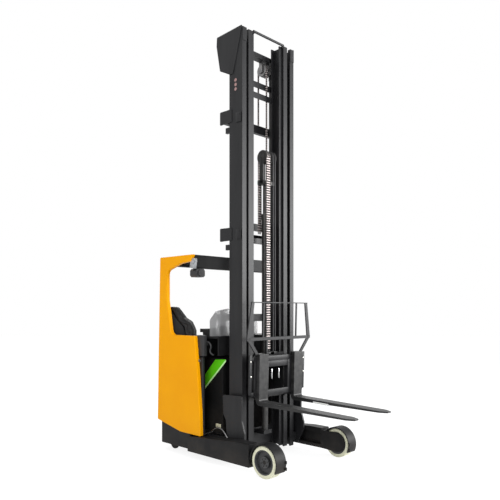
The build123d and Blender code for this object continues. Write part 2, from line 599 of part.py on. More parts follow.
OUTER_THICKNESS = 16
MIDDLE_FRONT_X = MAST_FRONT_X - STAGE_STEP_X
MIDDLE_DEPTH = MAST_DEPTH - 2 * STAGE_STEP_X
MIDDLE_REAR_X = MIDDLE_FRONT_X - MIDDLE_DEPTH
MIDDLE_FLANGE = 60
INNER_FRONT_X = MIDDLE_FRONT_X - 16 - STAGE_STEP_X
INNER_DEPTH = MIDDLE_DEPTH - 2 * (16 + STAGE_STEP_X)
INNER_FLANGE = 60
CYLINDER_X, CYLINDER_Y, CYLINDER_R = -262, 300, 30


def make_outer_mast():
    left = channel(MAST_HALF_WIDTH, OUTER_FLANGE, MAST_FRONT_X, MAST_DEPTH, 14, OUTER_THICKNESS, MAST_BOTTOM, MAST_TOP - 14)
    cap_block = block(MAST_FRONT_X - 34, MAST_FRONT_X + 6, MAST_HALF_WIDTH - OUTER_FLANGE, MAST_HALF_WIDTH - 2,
                      MAST_TOP - 150, MAST_TOP - 14)
    head_plate = side_plate([(MAST_REAR_X - 185, 4467, 10), (MAST_REAR_X - 191, 4373, 10), (MAST_REAR_X - 137, 4096, 10),
                             (MAST_REAR_X + 10, 4018, 10), (MAST_REAR_X + 60, 4018, 0), (MAST_FRONT_X, 4477, 6)],
                            MAST_HALF_WIDTH - 1, MAST_HALF_WIDTH + 7)
    side = left + cap_block + head_plate
    for z in CROSS_TUBE_Z:
        side += side_plate([(MAST_REAR_X + 40, z - 66, 0), (MAST_REAR_X + 40, z + 66, 0), (MAST_REAR_X - 137, z + 70, 12),
                            (MAST_REAR_X - 137, z - 68, 12)], MAST_HALF_WIDTH - 1, MAST_HALF_WIDTH + 7)
    for z in (2226, 3448):
        side += block(MAST_REAR_X - 58, MAST_REAR_X + 1, MAST_HALF_WIDTH - 30, MAST_HALF_WIDTH, z - 28, z + 28)
    mast = both_sides(side)
    for z in CROSS_TUBE_Z:
        tube = block(MAST_REAR_X - 137, MAST_REAR_X - 92, -MAST_HALF_WIDTH, MAST_HALF_WIDTH,
                     z - CROSS_TUBE_HALF, z + CROSS_TUBE_HALF)
        mast += tube - block(MAST_REAR_X - 132, MAST_REAR_X - 97, -MAST_HALF_WIDTH - 9, MAST_HALF_WIDTH + 9, z - 40, z + 40)
    sill = block(MAST_REAR_X - 16, MAST_REAR_X, -MAST_HALF_WIDTH + 1, MAST_HALF_WIDTH - 1, MAST_BOTTOM, 250)
    ledge = both_sides(block(CYLINDER_X - 35, MAST_REAR_X + 1, CYLINDER_Y - 35, CYLINDER_Y + 35, 200, 230))
    return mast + sill + ledge


CYLINDER_BOTTOM = 230
CYLINDER_TOP = 4230
ROD_R = 20


def make_lift_cylinders():
    barrel = bar_z(CYLINDER_X, CYLINDER_Y, CYLINDER_R, CYLINDER_BOTTOM + SEAT_GAP, CYLINDER_TOP)
    barrel += bar_z(CYLINDER_X, CYLINDER_Y, CYLINDER_R + 5, CYLINDER_TOP - 60, CYLINDER_TOP)
    barrel -= bar_z(CYLINDER_X, CYLINDER_Y, ROD_R + 1, CYLINDER_BOTTOM + 150, CYLINDER_TOP + 1)
    return both_sides(barrel)


HEAD_Z = 4350


def make_lift_rods():
    return both_sides(bar_z(CYLINDER_X, CYLINDER_Y, ROD_R, 400, HEAD_Z - 20 - SEAT_GAP))


ROLLER_PLAY = 0.3
ROLLER_SIDE_PLAY = 3
BEHIND_MIDDLE = 14


def make_middle_mast():
    left = channel(MIDDLE_OUTER_Y, MIDDLE_FLANGE, MIDDLE_FRONT_X, MIDDLE_DEPTH, 14, 16, MAST_BOTTOM + 10, MAST_TOP - 8)
    rear = MIDDLE_FRONT_X - MIDDLE_DEPTH
    roller_x = MIDDLE_FRONT_X - MIDDLE_DEPTH / 2
    roller_r = MAST_DEPTH / 2 - OUTER_THICKNESS - ROLLER_PLAY
    left += bar_y(roller_x, 420, roller_r, MAST_HALF_WIDTH - OUTER_FLANGE + 8, MAST_HALF_WIDTH - 14 - ROLLER_SIDE_PLAY)
    left += bar_y(roller_x, 420, 22, MIDDLE_OUTER_Y - 1, MAST_HALF_WIDTH - OUTER_FLANGE + 9)
    mast = both_sides(left)
    for z0, z1 in ((1450, 1530), (2430, 2510), (4000, 4060)):
        mast += block(rear - BEHIND_MIDDLE, rear, -MIDDLE_OUTER_Y + 8, MIDDLE_OUTER_Y - 8, z0, z1)
    head = block(CYLINDER_X - 30, rear, -MIDDLE_OUTER_Y - 30, MIDDLE_OUTER_Y + 30, HEAD_Z - 20, HEAD_Z + 30)
    head += both_sides(block(rear - 1, MIDDLE_FRONT_X - 20, MIDDLE_OUTER_Y - 1, MIDDLE_OUTER_Y + 12, HEAD_Z - 20, HEAD_Z + 30))
    return mast + head


SHEAVE_X, SHEAVE_Z, SHEAVE_R = -85, 3200, 82


HEAD_SHEAVE_X, HEAD_SHEAVE_Z, HEAD_SHEAVE_R = -263, 4240, 56
SHEAVE_HALF = 14            # half width of a head sheave
SHEAVE_RIM = 10
CHAIN_SHEAVE_Y = 150
HOSE_SHEAVE_Y = 208
CHAIN_GAP = 1
CHAIN_THICKNESS = 10
CHAIN_HALF = 11
HANGER = 12                 # plates that the sheaves' shaft hangs from
CROSS_TUBE_Z = (2360, 3588)
CROSS_TUBE_HALF = 45
CHAIN_FOOT_Z = 296


def make_mast_sheaves():
    """Chain and hose sheaves behind the head of the middle stage, on a shaft hung from its head beam."""
    x, z, r = HEAD_SHEAVE_X, HEAD_SHEAVE_Z, HEAD_SHEAVE_R
    hangers = (CHAIN_SHEAVE_Y - SHEAVE_HALF - HANGER, HOSE_SHEAVE_Y + SHEAVE_HALF + HANGER)
    side = bar_y(x, z, 14, hangers[0] - HANGER / 2, hangers[1] + HANGER / 2)
    for y in (HOSE_SHEAVE_Y, CHAIN_SHEAVE_Y):
        side += bar_y(x, z, r, y - SHEAVE_HALF, y + SHEAVE_HALF)
        for edge in (y - SHEAVE_HALF, y + SHEAVE_HALF - 2):
            side += bar_y(x, z, r + SHEAVE_RIM, edge, edge + 2)
    for y in hangers:
        side += block(x - 22, x + 22, y - HANGER / 2, y + HANGER / 2, z - 30, HEAD_Z - 20 - SEAT_GAP)
    return both_sides(side)


def make_mast_chains():
    """Second stage chains: from the outer mast's cross tube up and over the sheaves."""
    x, z, r = HEAD_SHEAVE_X, HEAD_SHEAVE_Z, HEAD_SHEAVE_R + CHAIN_GAP
    y0, y1 = CHAIN_SHEAVE_Y - CHAIN_HALF, CHAIN_SHEAVE_Y + CHAIN_HALF
    run = block(x - r - CHAIN_THICKNESS, x - r, y0, y1, CROSS_TUBE_Z[1] + CROSS_TUBE_HALF + SEAT_GAP, z)
    over = Pos(x, y1, z) * extrude(Plane.XZ * (Circle(r + CHAIN_THICKNESS) - Circle(r)), y1 - y0)
    run += over - block(x - 99, x + 99, 0, 300, z - 99, z)
    return both_sides(run)


def make_mast_chain_falls():
    """Front falls of the second stage chains, down to the foot of the inner stage."""
    x = HEAD_SHEAVE_X + HEAD_SHEAVE_R + CHAIN_GAP
    fall = block(x, x + CHAIN_THICKNESS, CHAIN_SHEAVE_Y - CHAIN_HALF, CHAIN_SHEAVE_Y + CHAIN_HALF,
                 CHAIN_FOOT_Z, HEAD_SHEAVE_Z - SEAT_GAP)
    return both_sides(fall)


BOW_R, BOW_END_R = 13, 9
BOW_HALF = 236


def make_inner_mast():
    """Inner channels with their cross members, foot rollers, chain lugs and the bow at the head."""
    z0 = MAST_BOTTOM + 20
    z1 = MAST_TOP - 14
    left = channel(INNER_OUTER_Y, INNER_FLANGE, INNER_FRONT_X, INNER_DEPTH, 14, 14, z0, z1)
    rear = INNER_FRONT_X - INNER_DEPTH
    x = INNER_FRONT_X - INNER_DEPTH / 2
    roller_r = MIDDLE_DEPTH / 2 - 16 - ROLLER_PLAY
    left += bar_y(x, 300, roller_r, INNER_OUTER_Y + 3, MIDDLE_OUTER_Y - 14 - ROLLER_SIDE_PLAY)
    left += bar_y(x, 300, 18, INNER_OUTER_Y - 1, INNER_OUTER_Y + 4)
    chain_rear = HEAD_SHEAVE_X + HEAD_SHEAVE_R + CHAIN_GAP
    left += block(chain_rear, rear - 11, CHAIN_SHEAVE_Y - CHAIN_HALF, CHAIN_SHEAVE_Y + CHAIN_HALF,
                  CHAIN_FOOT_Z - 56, CHAIN_FOOT_Z - SEAT_GAP)
    left += bar_x(BOW_HALF - 10, z1 - BOW_END_R, BOW_END_R, INNER_FRONT_X - 5, MAST_FRONT_X - 6)
    mast = both_sides(left)
    half = MIDDLE_OUTER_Y - MIDDLE_FLANGE - 4
    for low, high in ((120, 300), (2290, 2350), (3870, 3930)):
        mast += block(rear - 12, rear + 1, -half, half, low, high)
    foot = block(rear - 1, SHEAVE_X + 42, -60, 60, 250, 290)
    bow = bar_y(MAST_FRONT_X - 6, MAST_TOP - BOW_R + 5, BOW_R, -BOW_HALF, BOW_HALF)
    return mast + foot + bow


def make_free_lift_cylinder():
    barrel = bar_z(SHEAVE_X, 0, 34, 290 + SEAT_GAP, 2600)
    barrel += bar_z(SHEAVE_X, 0, 39, 2540, 2600)
    barrel -= bar_z(SHEAVE_X, 0, 23, 400, 2601)
    return barrel


def make_chain_head():
    """Rod, yoke and chain sheave that rise at half the carriage's speed."""
    rod = bar_z(SHEAVE_X, 0, 22, 900, 2930)
    yoke = block(SHEAVE_X - 30, SHEAVE_X + 30, -42, 42, 2909, 2950)
    yoke += both_sides(block(SHEAVE_X - 26, SHEAVE_X + 26, 32, 42, 2920, SHEAVE_Z + 30))
    sheave = bar_y(SHEAVE_X, SHEAVE_Z, SHEAVE_R, -22, 22)
    sheave += bar_y(SHEAVE_X, SHEAVE_Z, SHEAVE_R + 12, -26, -18) + bar_y(SHEAVE_X, SHEAVE_Z, SHEAVE_R + 12, 18, 26)
    pin = bar_y(SHEAVE_X, SHEAVE_Z, 14, -50, 50)
    return rod + yoke + sheave + pin


ANCHOR_Z = 1130


def make_lift_chain():
    """Leaf chain from the inner mast over the sheave and down to the carriage."""
    front = block(SHEAVE_X + SHEAVE_R + 1, SHEAVE_X + SHEAVE_R + 12, -15, 15, ANCHOR_Z + 8, SHEAVE_Z)
    rear = block(SHEAVE_X - SHEAVE_R - 12, SHEAVE_X - SHEAVE_R - 1, -15, 15, 2380, SHEAVE_Z)
    over = Pos(SHEAVE_X, 15, SHEAVE_Z) * extrude(Plane.XZ * (Circle(SHEAVE_R + 12) - Circle(SHEAVE_R + 1)), 30)
    over -= block(-999, 999, -99, 99, SHEAVE_Z - 300, SHEAVE_Z)
    return front + rear + over


# Lift carriage in the inner mast
CARRIAGE_PLATE_Y = 186
CARRIAGE_ROLLER_Z = (742, 1040)


PIN_R = 10
EAR_YS = (120, 240)         # inner faces of the two tilt ears on each side
EAR_WIDTH = 20
FRAME_REAR_X, FRAME_FRONT_X = 50, 76


def make_lift_carriage():
    """Roller carriage with ears and a pin for the tilting frame, tilt rams and the chain anchor."""
    cheek = side_plate([(-160, 690, 30), (20, 640, 20), (44, 660, 8), (44, 728, 8), (8, 760, 8), (8, 1122, 8),
                        (-160, 1100, 30)], CARRIAGE_PLATE_Y - 14, CARRIAGE_PLATE_Y)
    side = cheek
    roller_x = INNER_FRONT_X - INNER_DEPTH / 2
    roller_r = INNER_DEPTH / 2 - 14 - ROLLER_PLAY
    for z in CARRIAGE_ROLLER_Z:
        side += bar_y(roller_x, z, roller_r, INNER_OUTER_Y - INNER_FLANGE + 6, INNER_OUTER_Y - 14 - ROLLER_SIDE_PLAY)
        side += bar_y(roller_x, z, 20, CARRIAGE_PLATE_Y - 1, INNER_OUTER_Y - INNER_FLANGE + 7)
    for y in EAR_YS:
        side += block(20, TILT_X, y, y + EAR_WIDTH, TILT_Z - 12, TILT_Z + 12)
        side += bar_y(TILT_X, TILT_Z, 12, y, y + EAR_WIDTH)
    side += bar_y(TILT_X, TILT_Z, PIN_R, 80, 290)
    side += bar_x(60, 1030, 22, 0, 31)
    carriage = both_sides(side)
    carriage += block(-8, 8, -CARRIAGE_PLATE_Y + 1, CARRIAGE_PLATE_Y - 1, 1000, 1120)
    carriage += block(28, 44, -270, 270, 664, 722)
    anchor = block(-14, 24, -26, 26, 1096, ANCHOR_Z)
    return carriage + anchor


def make_tilt_frame():
    """Frame that tilts on the carriage's pin and carries the sideshifting fork carrier."""
    frame = block(FRAME_REAR_X, FRAME_FRONT_X, -330, 330, 678, 744)
    frame += block(FRAME_REAR_X, FRAME_FRONT_X, -330, 330, 1050, 1100)
    frame += both_sides(block(FRAME_REAR_X, FRAME_FRONT_X, 150, 182, 740, 1060))
    frame -= bar_y(TILT_X, TILT_Z, PIN_R + RUN_GAP, -331, 331)
    for y in EAR_YS:
        frame -= both_sides(block(FRAME_REAR_X - 1, FRAME_FRONT_X + 1, y - 3, y + EAR_WIDTH + 3, 660, TILT_Z + 18))
    return drooped(frame)


def make_fork_carriage():
    """Sideshifting fork carrier: upper and lower fork bars joined by uprights."""
    x0, x1 = FRAME_FRONT_X + SEAT_GAP, FORK_FACE_X - FORK_THICKNESS - SEAT_GAP
    carrier = block(x0, x1, -352, 352, 1046, 1100) + block(x0, x1, -352, 352, 690, 750)
    for y, width in ((322, 30), (96, 30), (30, 14)):
        carrier += both_sides(block(x0, x1, y, y + width, 740, 1060))
    return drooped(carrier)


def make_fork(side):
    heel_bottom = FORK_HEEL_TOP - FORK_THICKNESS
    back = FORK_FACE_X - FORK_THICKNESS
    blade_tip = 14
    profile = [(back, SHANK_TOP, 6), (back, heel_bottom, 46), (FORK_TIP_X, FORK_HEEL_TOP - blade_tip, 4),
               (FORK_TIP_X, FORK_HEEL_TOP, 4), (FORK_FACE_X, FORK_HEEL_TOP, 22), (FORK_FACE_X, SHANK_TOP, 6)]
    y0 = side * FORK_CENTRE_Y - FORK_WIDTH / 2
    fork = side_plate(profile, y0, y0 + FORK_WIDTH)
    tip_cut = 38
    for edge in (-1, 1):
        y = side * FORK_CENTRE_Y + edge * FORK_WIDTH / 2
        corner = make_face(Polyline((FORK_TIP_X + 1, y), (FORK_TIP_X - 2 * tip_cut, y), (FORK_TIP_X + 1, y - edge * tip_cut), close=True))
        fork -= Pos(0, 0, FORK_HEEL_TOP - 100) * extrude(corner, 200)
    # hook over the upper fork bar and hook under the lower one
    hook = block(FRAME_FRONT_X + 2, back + 1, y0 + 8, y0 + FORK_WIDTH - 8, 1100 + SEAT_GAP, SHANK_TOP)
    lower = block(FRAME_FRONT_X + 2, back + 1, y0 + 8, y0 + FORK_WIDTH - 8, 660, 690 - SEAT_GAP)
    return drooped(fork + hook + lower)


def make_load_backrest():
    """Guard of flat bars above the fork carrier, widest at its middle bar."""
    x0, x1 = 104 + SEAT_GAP, 118
    flat = 16
    wide, narrow, top_half, foot_half = 497, 250, 415, 395
    mid_z, top_z, foot_z = 1280, BACKREST_TOP, 1180
    side_up = cross_plate([(top_half - 40, top_z, 0), (top_half, top_z, 0), (wide, mid_z, 0), (wide - 60, mid_z, 0)], x0, x1)
    side_down = cross_plate([(wide - 60, mid_z, 0), (wide, mid_z, 0), (foot_half + 20, foot_z, 0), (foot_half - 40, foot_z, 0)], x0, x1)
    inner_bar = block(x0, x1, narrow, narrow + flat, foot_z - 20, top_z)
    rail = block(x0, x1, -wide, wide, mid_z - 16, mid_z + 16)
    top = block(x0 - 4, x1 + 4, -top_half, top_half, top_z - 10, top_z)
    low = block(x0, x1, -foot_half - 20, foot_half + 20, foot_z - 20, foot_z)
    leg = block(FRAME_FRONT_X + 1, x0 + 1, narrow - 75, narrow - 55, 1100 + SEAT_GAP, foot_z)
    leg += block(FRAME_FRONT_X + 1, x1, narrow - 75, narrow - 55, foot_z - 20, foot_z)
    return drooped(both_sides(side_up + side_down + inner_bar + leg) + rail + top + low)


# Reach cylinder under the deck
def make_reach_cylinder():
    bore = bar_x(REACH_Y, REACH_Z, REACH_ROD_R + 1, -1090, -459)
    barrel = bar_x(REACH_Y, REACH_Z, REACH_BARREL_R, -1120, -460)
    post = block(-1120, -1080, REACH_Y - 20, REACH_Y + 20, REACH_Z, CHASSIS_TOP - DECK - SEAT_GAP)
    return barrel + post - bore


def make_reach_rod():
    return bar_x(REACH_Y, REACH_Z, REACH_ROD_R, -1070, REACH_TUBE_X - SEAT_GAP)


leg = make_leg()
guard = make_wheel_guard()
tyre = make_load_tyre()
hub = make_load_hub()

PARTS = {
    "chassis_base": make_chassis_base(),
    "leg_left": leg,
    "leg_right": mirrored(leg),
    "wheel_guard_left": guard,
    "wheel_guard_right": mirrored(guard),
    "load_tyre_left": tyre,
    "load_tyre_right": mirrored(tyre),
    "load_hub_left": hub,
    "load_hub_right": mirrored(hub),
    "drive_unit": make_drive_unit(),
    "drive_wheel": make_drive_wheel(),
    "drive_motor": make_drive_motor(),
    "castor_fork": make_castor_fork(),
    "castor_wheel": make_castor_wheel(),
    "right_side_panel": make_right_side_panel(),
    "left_side_panel": make_left_side_panel(),
    "rear_cover": make_rear_cover(),
    "overhead_guard": make_overhead_guard(),
    "side_post": make_side_post(),
    "floor_mat": make_floor_mat(),
    "seat_base": make_seat_base(),
    "seat_cushion": make_seat_cushion(),
    "seat_backrest": make_seat_backrest(),
    "armrest": make_armrest(),
    "steering_console": make_steering_console(),
    "steering_wheel": make_steering_wheel(),
    "battery": make_battery(),
    "battery_hood": make_battery_hood(),
    "screen": make_screen(),
    "work_lamp": make_work_lamp(),
    "reach_cylinder": make_reach_cylinder(),
    "reach_rod": make_reach_rod(),
    "reach_carriage": make_reach_carriage(),
    "reach_rollers": make_reach_rollers(),
    "outer_mast": make_outer_mast(),
    "lift_cylinders": make_lift_cylinders(),
    "lift_rods": make_lift_rods(),
    "middle_mast": make_middle_mast(),
    "mast_sheaves": make_mast_sheaves(),
    "mast_chains": make_mast_chains(),
    "mast_chain_falls": make_mast_chain_falls(),
    "inner_mast": make_inner_mast(),
    "free_lift_cylinder": make_free_lift_cylinder(),
    "chain_head": make_chain_head(),
    "lift_chain": make_lift_chain(),
    "lift_carriage": make_lift_carriage(),
    "tilt_frame": make_tilt_frame(),
    "fork_carriage": make_fork_carriage(),
    "fork_left": make_fork(1),
    "fork_right": make_fork(-1),
    "load_backrest": make_load_backrest(),
}

for name, part in PARTS.items():
    save(name, part)
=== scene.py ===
import bpy
import json
import math
from mathutils import Matrix, Vector


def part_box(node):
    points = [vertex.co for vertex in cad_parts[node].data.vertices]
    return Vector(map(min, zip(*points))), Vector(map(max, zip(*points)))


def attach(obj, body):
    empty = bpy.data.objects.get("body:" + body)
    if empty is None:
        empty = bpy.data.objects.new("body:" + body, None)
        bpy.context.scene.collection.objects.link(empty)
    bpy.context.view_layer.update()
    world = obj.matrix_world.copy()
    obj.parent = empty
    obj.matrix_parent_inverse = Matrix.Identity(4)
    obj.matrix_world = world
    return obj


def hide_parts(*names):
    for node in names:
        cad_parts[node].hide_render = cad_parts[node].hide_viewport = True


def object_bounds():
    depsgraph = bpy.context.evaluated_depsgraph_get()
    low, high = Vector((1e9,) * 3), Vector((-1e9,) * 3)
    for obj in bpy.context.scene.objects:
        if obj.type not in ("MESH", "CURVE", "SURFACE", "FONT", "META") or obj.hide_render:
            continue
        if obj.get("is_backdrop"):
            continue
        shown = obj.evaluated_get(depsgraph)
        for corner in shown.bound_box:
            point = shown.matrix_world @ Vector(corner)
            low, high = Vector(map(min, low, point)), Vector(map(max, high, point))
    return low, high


# %% [markdown]
# # A reach truck in Blender
# The frame holds the truck as plain solids that already move on their joints. This lesson gives each
# solid a finish, and adds the pieces that a solid alone can't show: padded seat, chain links, bolts, hoses.

# %% Load the frame
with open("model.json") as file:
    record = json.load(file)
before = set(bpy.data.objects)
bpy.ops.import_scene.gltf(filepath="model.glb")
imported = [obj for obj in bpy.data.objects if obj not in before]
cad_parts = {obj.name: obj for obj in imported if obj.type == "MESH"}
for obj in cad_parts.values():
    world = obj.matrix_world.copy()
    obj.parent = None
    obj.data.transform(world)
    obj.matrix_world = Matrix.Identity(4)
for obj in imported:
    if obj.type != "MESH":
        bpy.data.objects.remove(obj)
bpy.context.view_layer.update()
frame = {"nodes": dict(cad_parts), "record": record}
NODES = frame["nodes"]
print("CAD nodes", len(NODES))

# %% [markdown]
# ## Small tools
# An operator acts on all that is selected, so each step starts by clearing the selection. A finished piece
# keeps its place in its mesh, with its object at the origin, and rides on the body that carries it.

# %% Helpers for pieces
MM = 0.001


def deselect():
    """Leave edit mode and select nothing."""
    if bpy.context.mode != "OBJECT":
        bpy.ops.object.mode_set(mode="OBJECT")
    bpy.ops.object.select_all(action="DESELECT")


def pick(*objects):
    """Select these objects only, the last one active."""
    deselect()
    for o in objects:
        o.select_set(True)
    bpy.context.view_layer.objects.active = objects[-1]


def freeze(o):
    """Put the object's place, turn and size into its mesh."""
    pick(o)
    bpy.ops.object.transform_apply(location=True, rotation=True, scale=True)
    return o


def apply_modifiers(o):
    """Make the modifiers of a piece part of its mesh."""
    pick(o)
    for m in list(o.modifiers):
        bpy.ops.object.modifier_apply(modifier=m.name)
    return o


def rounded(o, width, segments=2):
    """Round the sharp edges of a piece."""
    m = o.modifiers.new("edge", "BEVEL")
    m.width = width
    m.segments = segments
    m.limit_method = "ANGLE"
    m.angle_limit = math.radians(35)
    return apply_modifiers(o)


def smooth(o, angle=35):
    """Smooth shading, with edges sharper than the angle kept."""
    pick(o)
    bpy.ops.object.shade_smooth_by_angle(angle=math.radians(angle))
    return o


def join(name, parts):
    """One object from several."""
    pick(*parts)
    if len(parts) > 1:
        bpy.ops.object.join()
    whole = bpy.context.view_layer.objects.active
    whole.name = name
    whole.data.name = name
    return whole


def box(lo, hi, round_off=0.0):
    """A block between two corners, with rounded edges."""
    deselect()
    centre = [(a + b) / 2 for a, b in zip(lo, hi)]
    bpy.ops.mesh.primitive_cube_add(size=1, location=centre)
    o = bpy.context.object
    o.scale = [b - a for a, b in zip(lo, hi)]
    freeze(o)
    return rounded(o, round_off) if round_off else o


def drum(centre, radius, length, axis="Z", sides=32, round_off=0.0):
    """A round bar or disc about a centre, along an axis."""
    deselect()
    turn = {"X": (0, math.pi / 2, 0), "Y": (math.pi / 2, 0, 0), "Z": (0, 0, 0)}[axis]
    bpy.ops.mesh.primitive_cylinder_add(vertices=sides, radius=radius, depth=length,
                                        location=centre, rotation=turn)
    o = freeze(bpy.context.object)
    return rounded(o, round_off) if round_off else o


def from_points(name, verts, faces):
    """A new object from points and faces."""
    mesh = bpy.data.meshes.new(name)
    mesh.from_pydata(verts, [], faces)
    mesh.update()
    o = bpy.data.objects.new(name, mesh)
    bpy.context.scene.collection.objects.link(o)
    return o


def outward(o):
    """Turn all faces of a closed form outwards."""
    pick(o)
    bpy.ops.object.mode_set(mode="EDIT")
    bpy.ops.mesh.select_all(action="SELECT")
    bpy.ops.mesh.normals_make_consistent(inside=False)
    bpy.ops.object.mode_set(mode="OBJECT")
    return o


def span(side, near, far):
    """The pair (low, high) of a stretch on one side of the middle, side being -1 or 1."""
    return sorted((side * near, side * far))


def placed(o, matrix):
    """Move a finished mesh by a matrix."""
    o.data.transform(matrix)
    o.data.update()
    return o


def finish_piece(o, name, material, body, angle=35):
    """Name, finish and body of a piece, which then rides with the truck."""
    o.name = name
    o.data.name = name
    o.data.materials.clear()
    o.data.materials.append(material)
    smooth(o, angle)
    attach(o, body)
    return o


def tube(name, points, radius, sides=6, order=3):
    """A smooth round hose along points, as a curve made into a mesh."""
    curve = bpy.data.curves.new(name, "CURVE")
    curve.dimensions = "3D"
    curve.bevel_depth = radius
    curve.bevel_resolution = sides
    curve.use_fill_caps = True
    line = curve.splines.new("NURBS")
    line.points.add(len(points) - 1)
    for p, q in zip(line.points, points):
        p.co = (*q, 1)
    line.use_endpoint_u = True
    line.order_u = order
    line.resolution_u = 12
    o = bpy.data.objects.new(name, curve)
    bpy.context.scene.collection.objects.link(o)
    pick(o)
    bpy.ops.object.convert(target="MESH")
    return bpy.context.object


# %% [markdown]
# ## Finishes
# A real painted steel sheet isn't one colour: it has faint clouds, a fine orange peel and, on the dark
# paints, dust low down; the yellow only turns a darker orange towards the bottom.
# Each finish mixes two near colours by noise on Object coordinates, varies the gloss, and adds a fine bump.
# A bevel node catches the light on edges, as the broken edges of real plates do.

# %% One builder for painted, metal and plastic finishes
FINISHES = {}
DUST_SHARE = 0.14           # most that dust covers, at the floor
RELIEF_DEPTH = 0.4 * MM


def finish(name, colour, cloud, rough=0.5, metallic=0.0, specular=0.5, cloud_scale=3.0, grain=900.0,
           bump=0.1, stretch=(1, 1, 1), edge=1.6 * MM, rough_spread=0.08, low_dust=None):
    """A material from two near colours, kept in FINISHES under its name."""
    m = bpy.data.materials.new(name + "_finish")
    FINISHES[name] = m
    m.use_nodes = True
    tree = m.node_tree
    shader = tree.nodes["Principled BSDF"]
    add = tree.nodes.new
    link = tree.links.new
    coord = add("ShaderNodeTexCoord")
    mapping = add("ShaderNodeMapping")
    mapping.inputs["Scale"].default_value = stretch
    link(coord.outputs["Object"], mapping.inputs["Vector"])
    clouds = add("ShaderNodeTexNoise")
    clouds.inputs["Scale"].default_value = cloud_scale
    clouds.inputs["Detail"].default_value = 6
    clouds.inputs["Roughness"].default_value = 0.6
    link(mapping.outputs[0], clouds.inputs["Vector"])
    spread = add("ShaderNodeMapRange")
    spread.inputs["From Min"].default_value = 0.35
    spread.inputs["From Max"].default_value = 0.65
    link(clouds.outputs["Fac"], spread.inputs["Value"])
    mix = add("ShaderNodeMix")
    mix.data_type = "RGBA"
    mix.inputs[6].default_value = (*colour, 1)
    mix.inputs[7].default_value = (*cloud, 1)
    link(spread.outputs[0], mix.inputs[0])
    colour_out = mix.outputs[2]
    if low_dust:
        height, dust = low_dust
        split = add("ShaderNodeSeparateXYZ")
        link(coord.outputs["Object"], split.inputs[0])
        fade = add("ShaderNodeMapRange")
        fade.inputs["From Min"].default_value = height
        fade.inputs["From Max"].default_value = 0.0
        fade.inputs["To Max"].default_value = DUST_SHARE
        link(split.outputs["Z"], fade.inputs["Value"])
        speck = add("ShaderNodeMath")
        speck.operation = "MULTIPLY"
        link(fade.outputs[0], speck.inputs[0])
        link(spread.outputs[0], speck.inputs[1])
        dirt = add("ShaderNodeMix")
        dirt.data_type = "RGBA"
        dirt.inputs[7].default_value = (*dust, 1)
        link(speck.outputs[0], dirt.inputs[0])
        link(colour_out, dirt.inputs[6])
        colour_out = dirt.outputs[2]
    link(colour_out, shader.inputs["Base Color"])
    gloss = add("ShaderNodeMapRange")
    gloss.inputs["To Min"].default_value = max(rough - rough_spread, 0.02)
    gloss.inputs["To Max"].default_value = min(rough + rough_spread, 1.0)
    link(clouds.outputs["Fac"], gloss.inputs["Value"])
    link(gloss.outputs[0], shader.inputs["Roughness"])
    fine = add("ShaderNodeTexNoise")
    fine.inputs["Scale"].default_value = grain
    fine.inputs["Detail"].default_value = 2
    link(mapping.outputs[0], fine.inputs["Vector"])
    relief = add("ShaderNodeBump")
    relief.inputs["Strength"].default_value = bump
    relief.inputs["Distance"].default_value = RELIEF_DEPTH
    link(fine.outputs["Fac"], relief.inputs["Height"])
    if edge:
        corner = add("ShaderNodeBevel")
        corner.samples = 4
        corner.inputs["Radius"].default_value = edge
        link(corner.outputs[0], relief.inputs["Normal"])
    link(relief.outputs[0], shader.inputs["Normal"])
    shader.inputs["Metallic"].default_value = metallic
    shader.inputs["Specular IOR Level"].default_value = specular
    return m


# %% Paints, metals, rubber and plastic of the truck
DUST = (0.16, 0.13, 0.10)
# The yellow's low colour is a darker orange of the same paint, so the yellow only gets darker towards the
# bottom.
finish("yellow_paint", (0.80, 0.325, 0.0), (0.84, 0.36, 0.0), rough=0.42, specular=0.08,
       cloud_scale=1.6, grain=420, bump=0.035, low_dust=(0.5, (0.62, 0.27, 0.03)))
finish("black_paint", (0.006, 0.006, 0.0065), (0.010, 0.010, 0.0105), rough=0.5, specular=0.16,
       cloud_scale=5, grain=700, bump=0.08, low_dust=(0.32, DUST))
mast_paint = finish("mast_paint", (0.008, 0.008, 0.009), (0.014, 0.014, 0.015), rough=0.44, specular=0.26,
                    cloud_scale=4, grain=500, bump=0.07, stretch=(3, 3, 0.35))
grey_paint = finish("grey_paint", (0.022, 0.022, 0.023), (0.034, 0.034, 0.035), rough=0.42, specular=0.25,
                    cloud_scale=6, grain=600, bump=0.06)
finish("battery_paint", (0.004, 0.004, 0.004), (0.007, 0.007, 0.007), rough=0.6, specular=0.08,
       cloud_scale=4, grain=800, bump=0.1, low_dust=(0.6, DUST))
finish("fork_steel", (0.012, 0.012, 0.0125), (0.03, 0.0295, 0.029), rough=0.42, metallic=0.2,
       specular=0.3, cloud_scale=4, grain=160, bump=0.12, stretch=(0.6, 6, 6))
dark_steel = finish("dark_steel", (0.03, 0.03, 0.031), (0.055, 0.053, 0.05), rough=0.45, metallic=0.5,
                    cloud_scale=9, grain=500, bump=0.1)
finish("cast_hub", (0.03, 0.031, 0.033), (0.048, 0.049, 0.05), rough=0.5, metallic=0.25,
       cloud_scale=14, grain=350, bump=0.2)
chromed_rod = finish("chromed_rod", (0.55, 0.55, 0.56), (0.62, 0.62, 0.62), rough=0.14, metallic=1.0,
                     cloud_scale=8, grain=900, bump=0.02, rough_spread=0.05, edge=0)
roller_steel = finish("roller_steel", (0.16, 0.16, 0.165), (0.26, 0.255, 0.25), rough=0.32, metallic=0.9,
                      cloud_scale=12, grain=300, bump=0.08, stretch=(1, 5, 1))
chain_plate = finish("chain_plate", (0.03, 0.028, 0.027), (0.06, 0.055, 0.053), rough=0.5, metallic=0.4,
                     cloud_scale=40, grain=700, bump=0.06, edge=0)
chain_steel = finish("chain_steel", (0.50, 0.42, 0.40), (0.62, 0.54, 0.52), rough=0.34, metallic=0.4,
                     cloud_scale=40, grain=700, bump=0.06, edge=0)
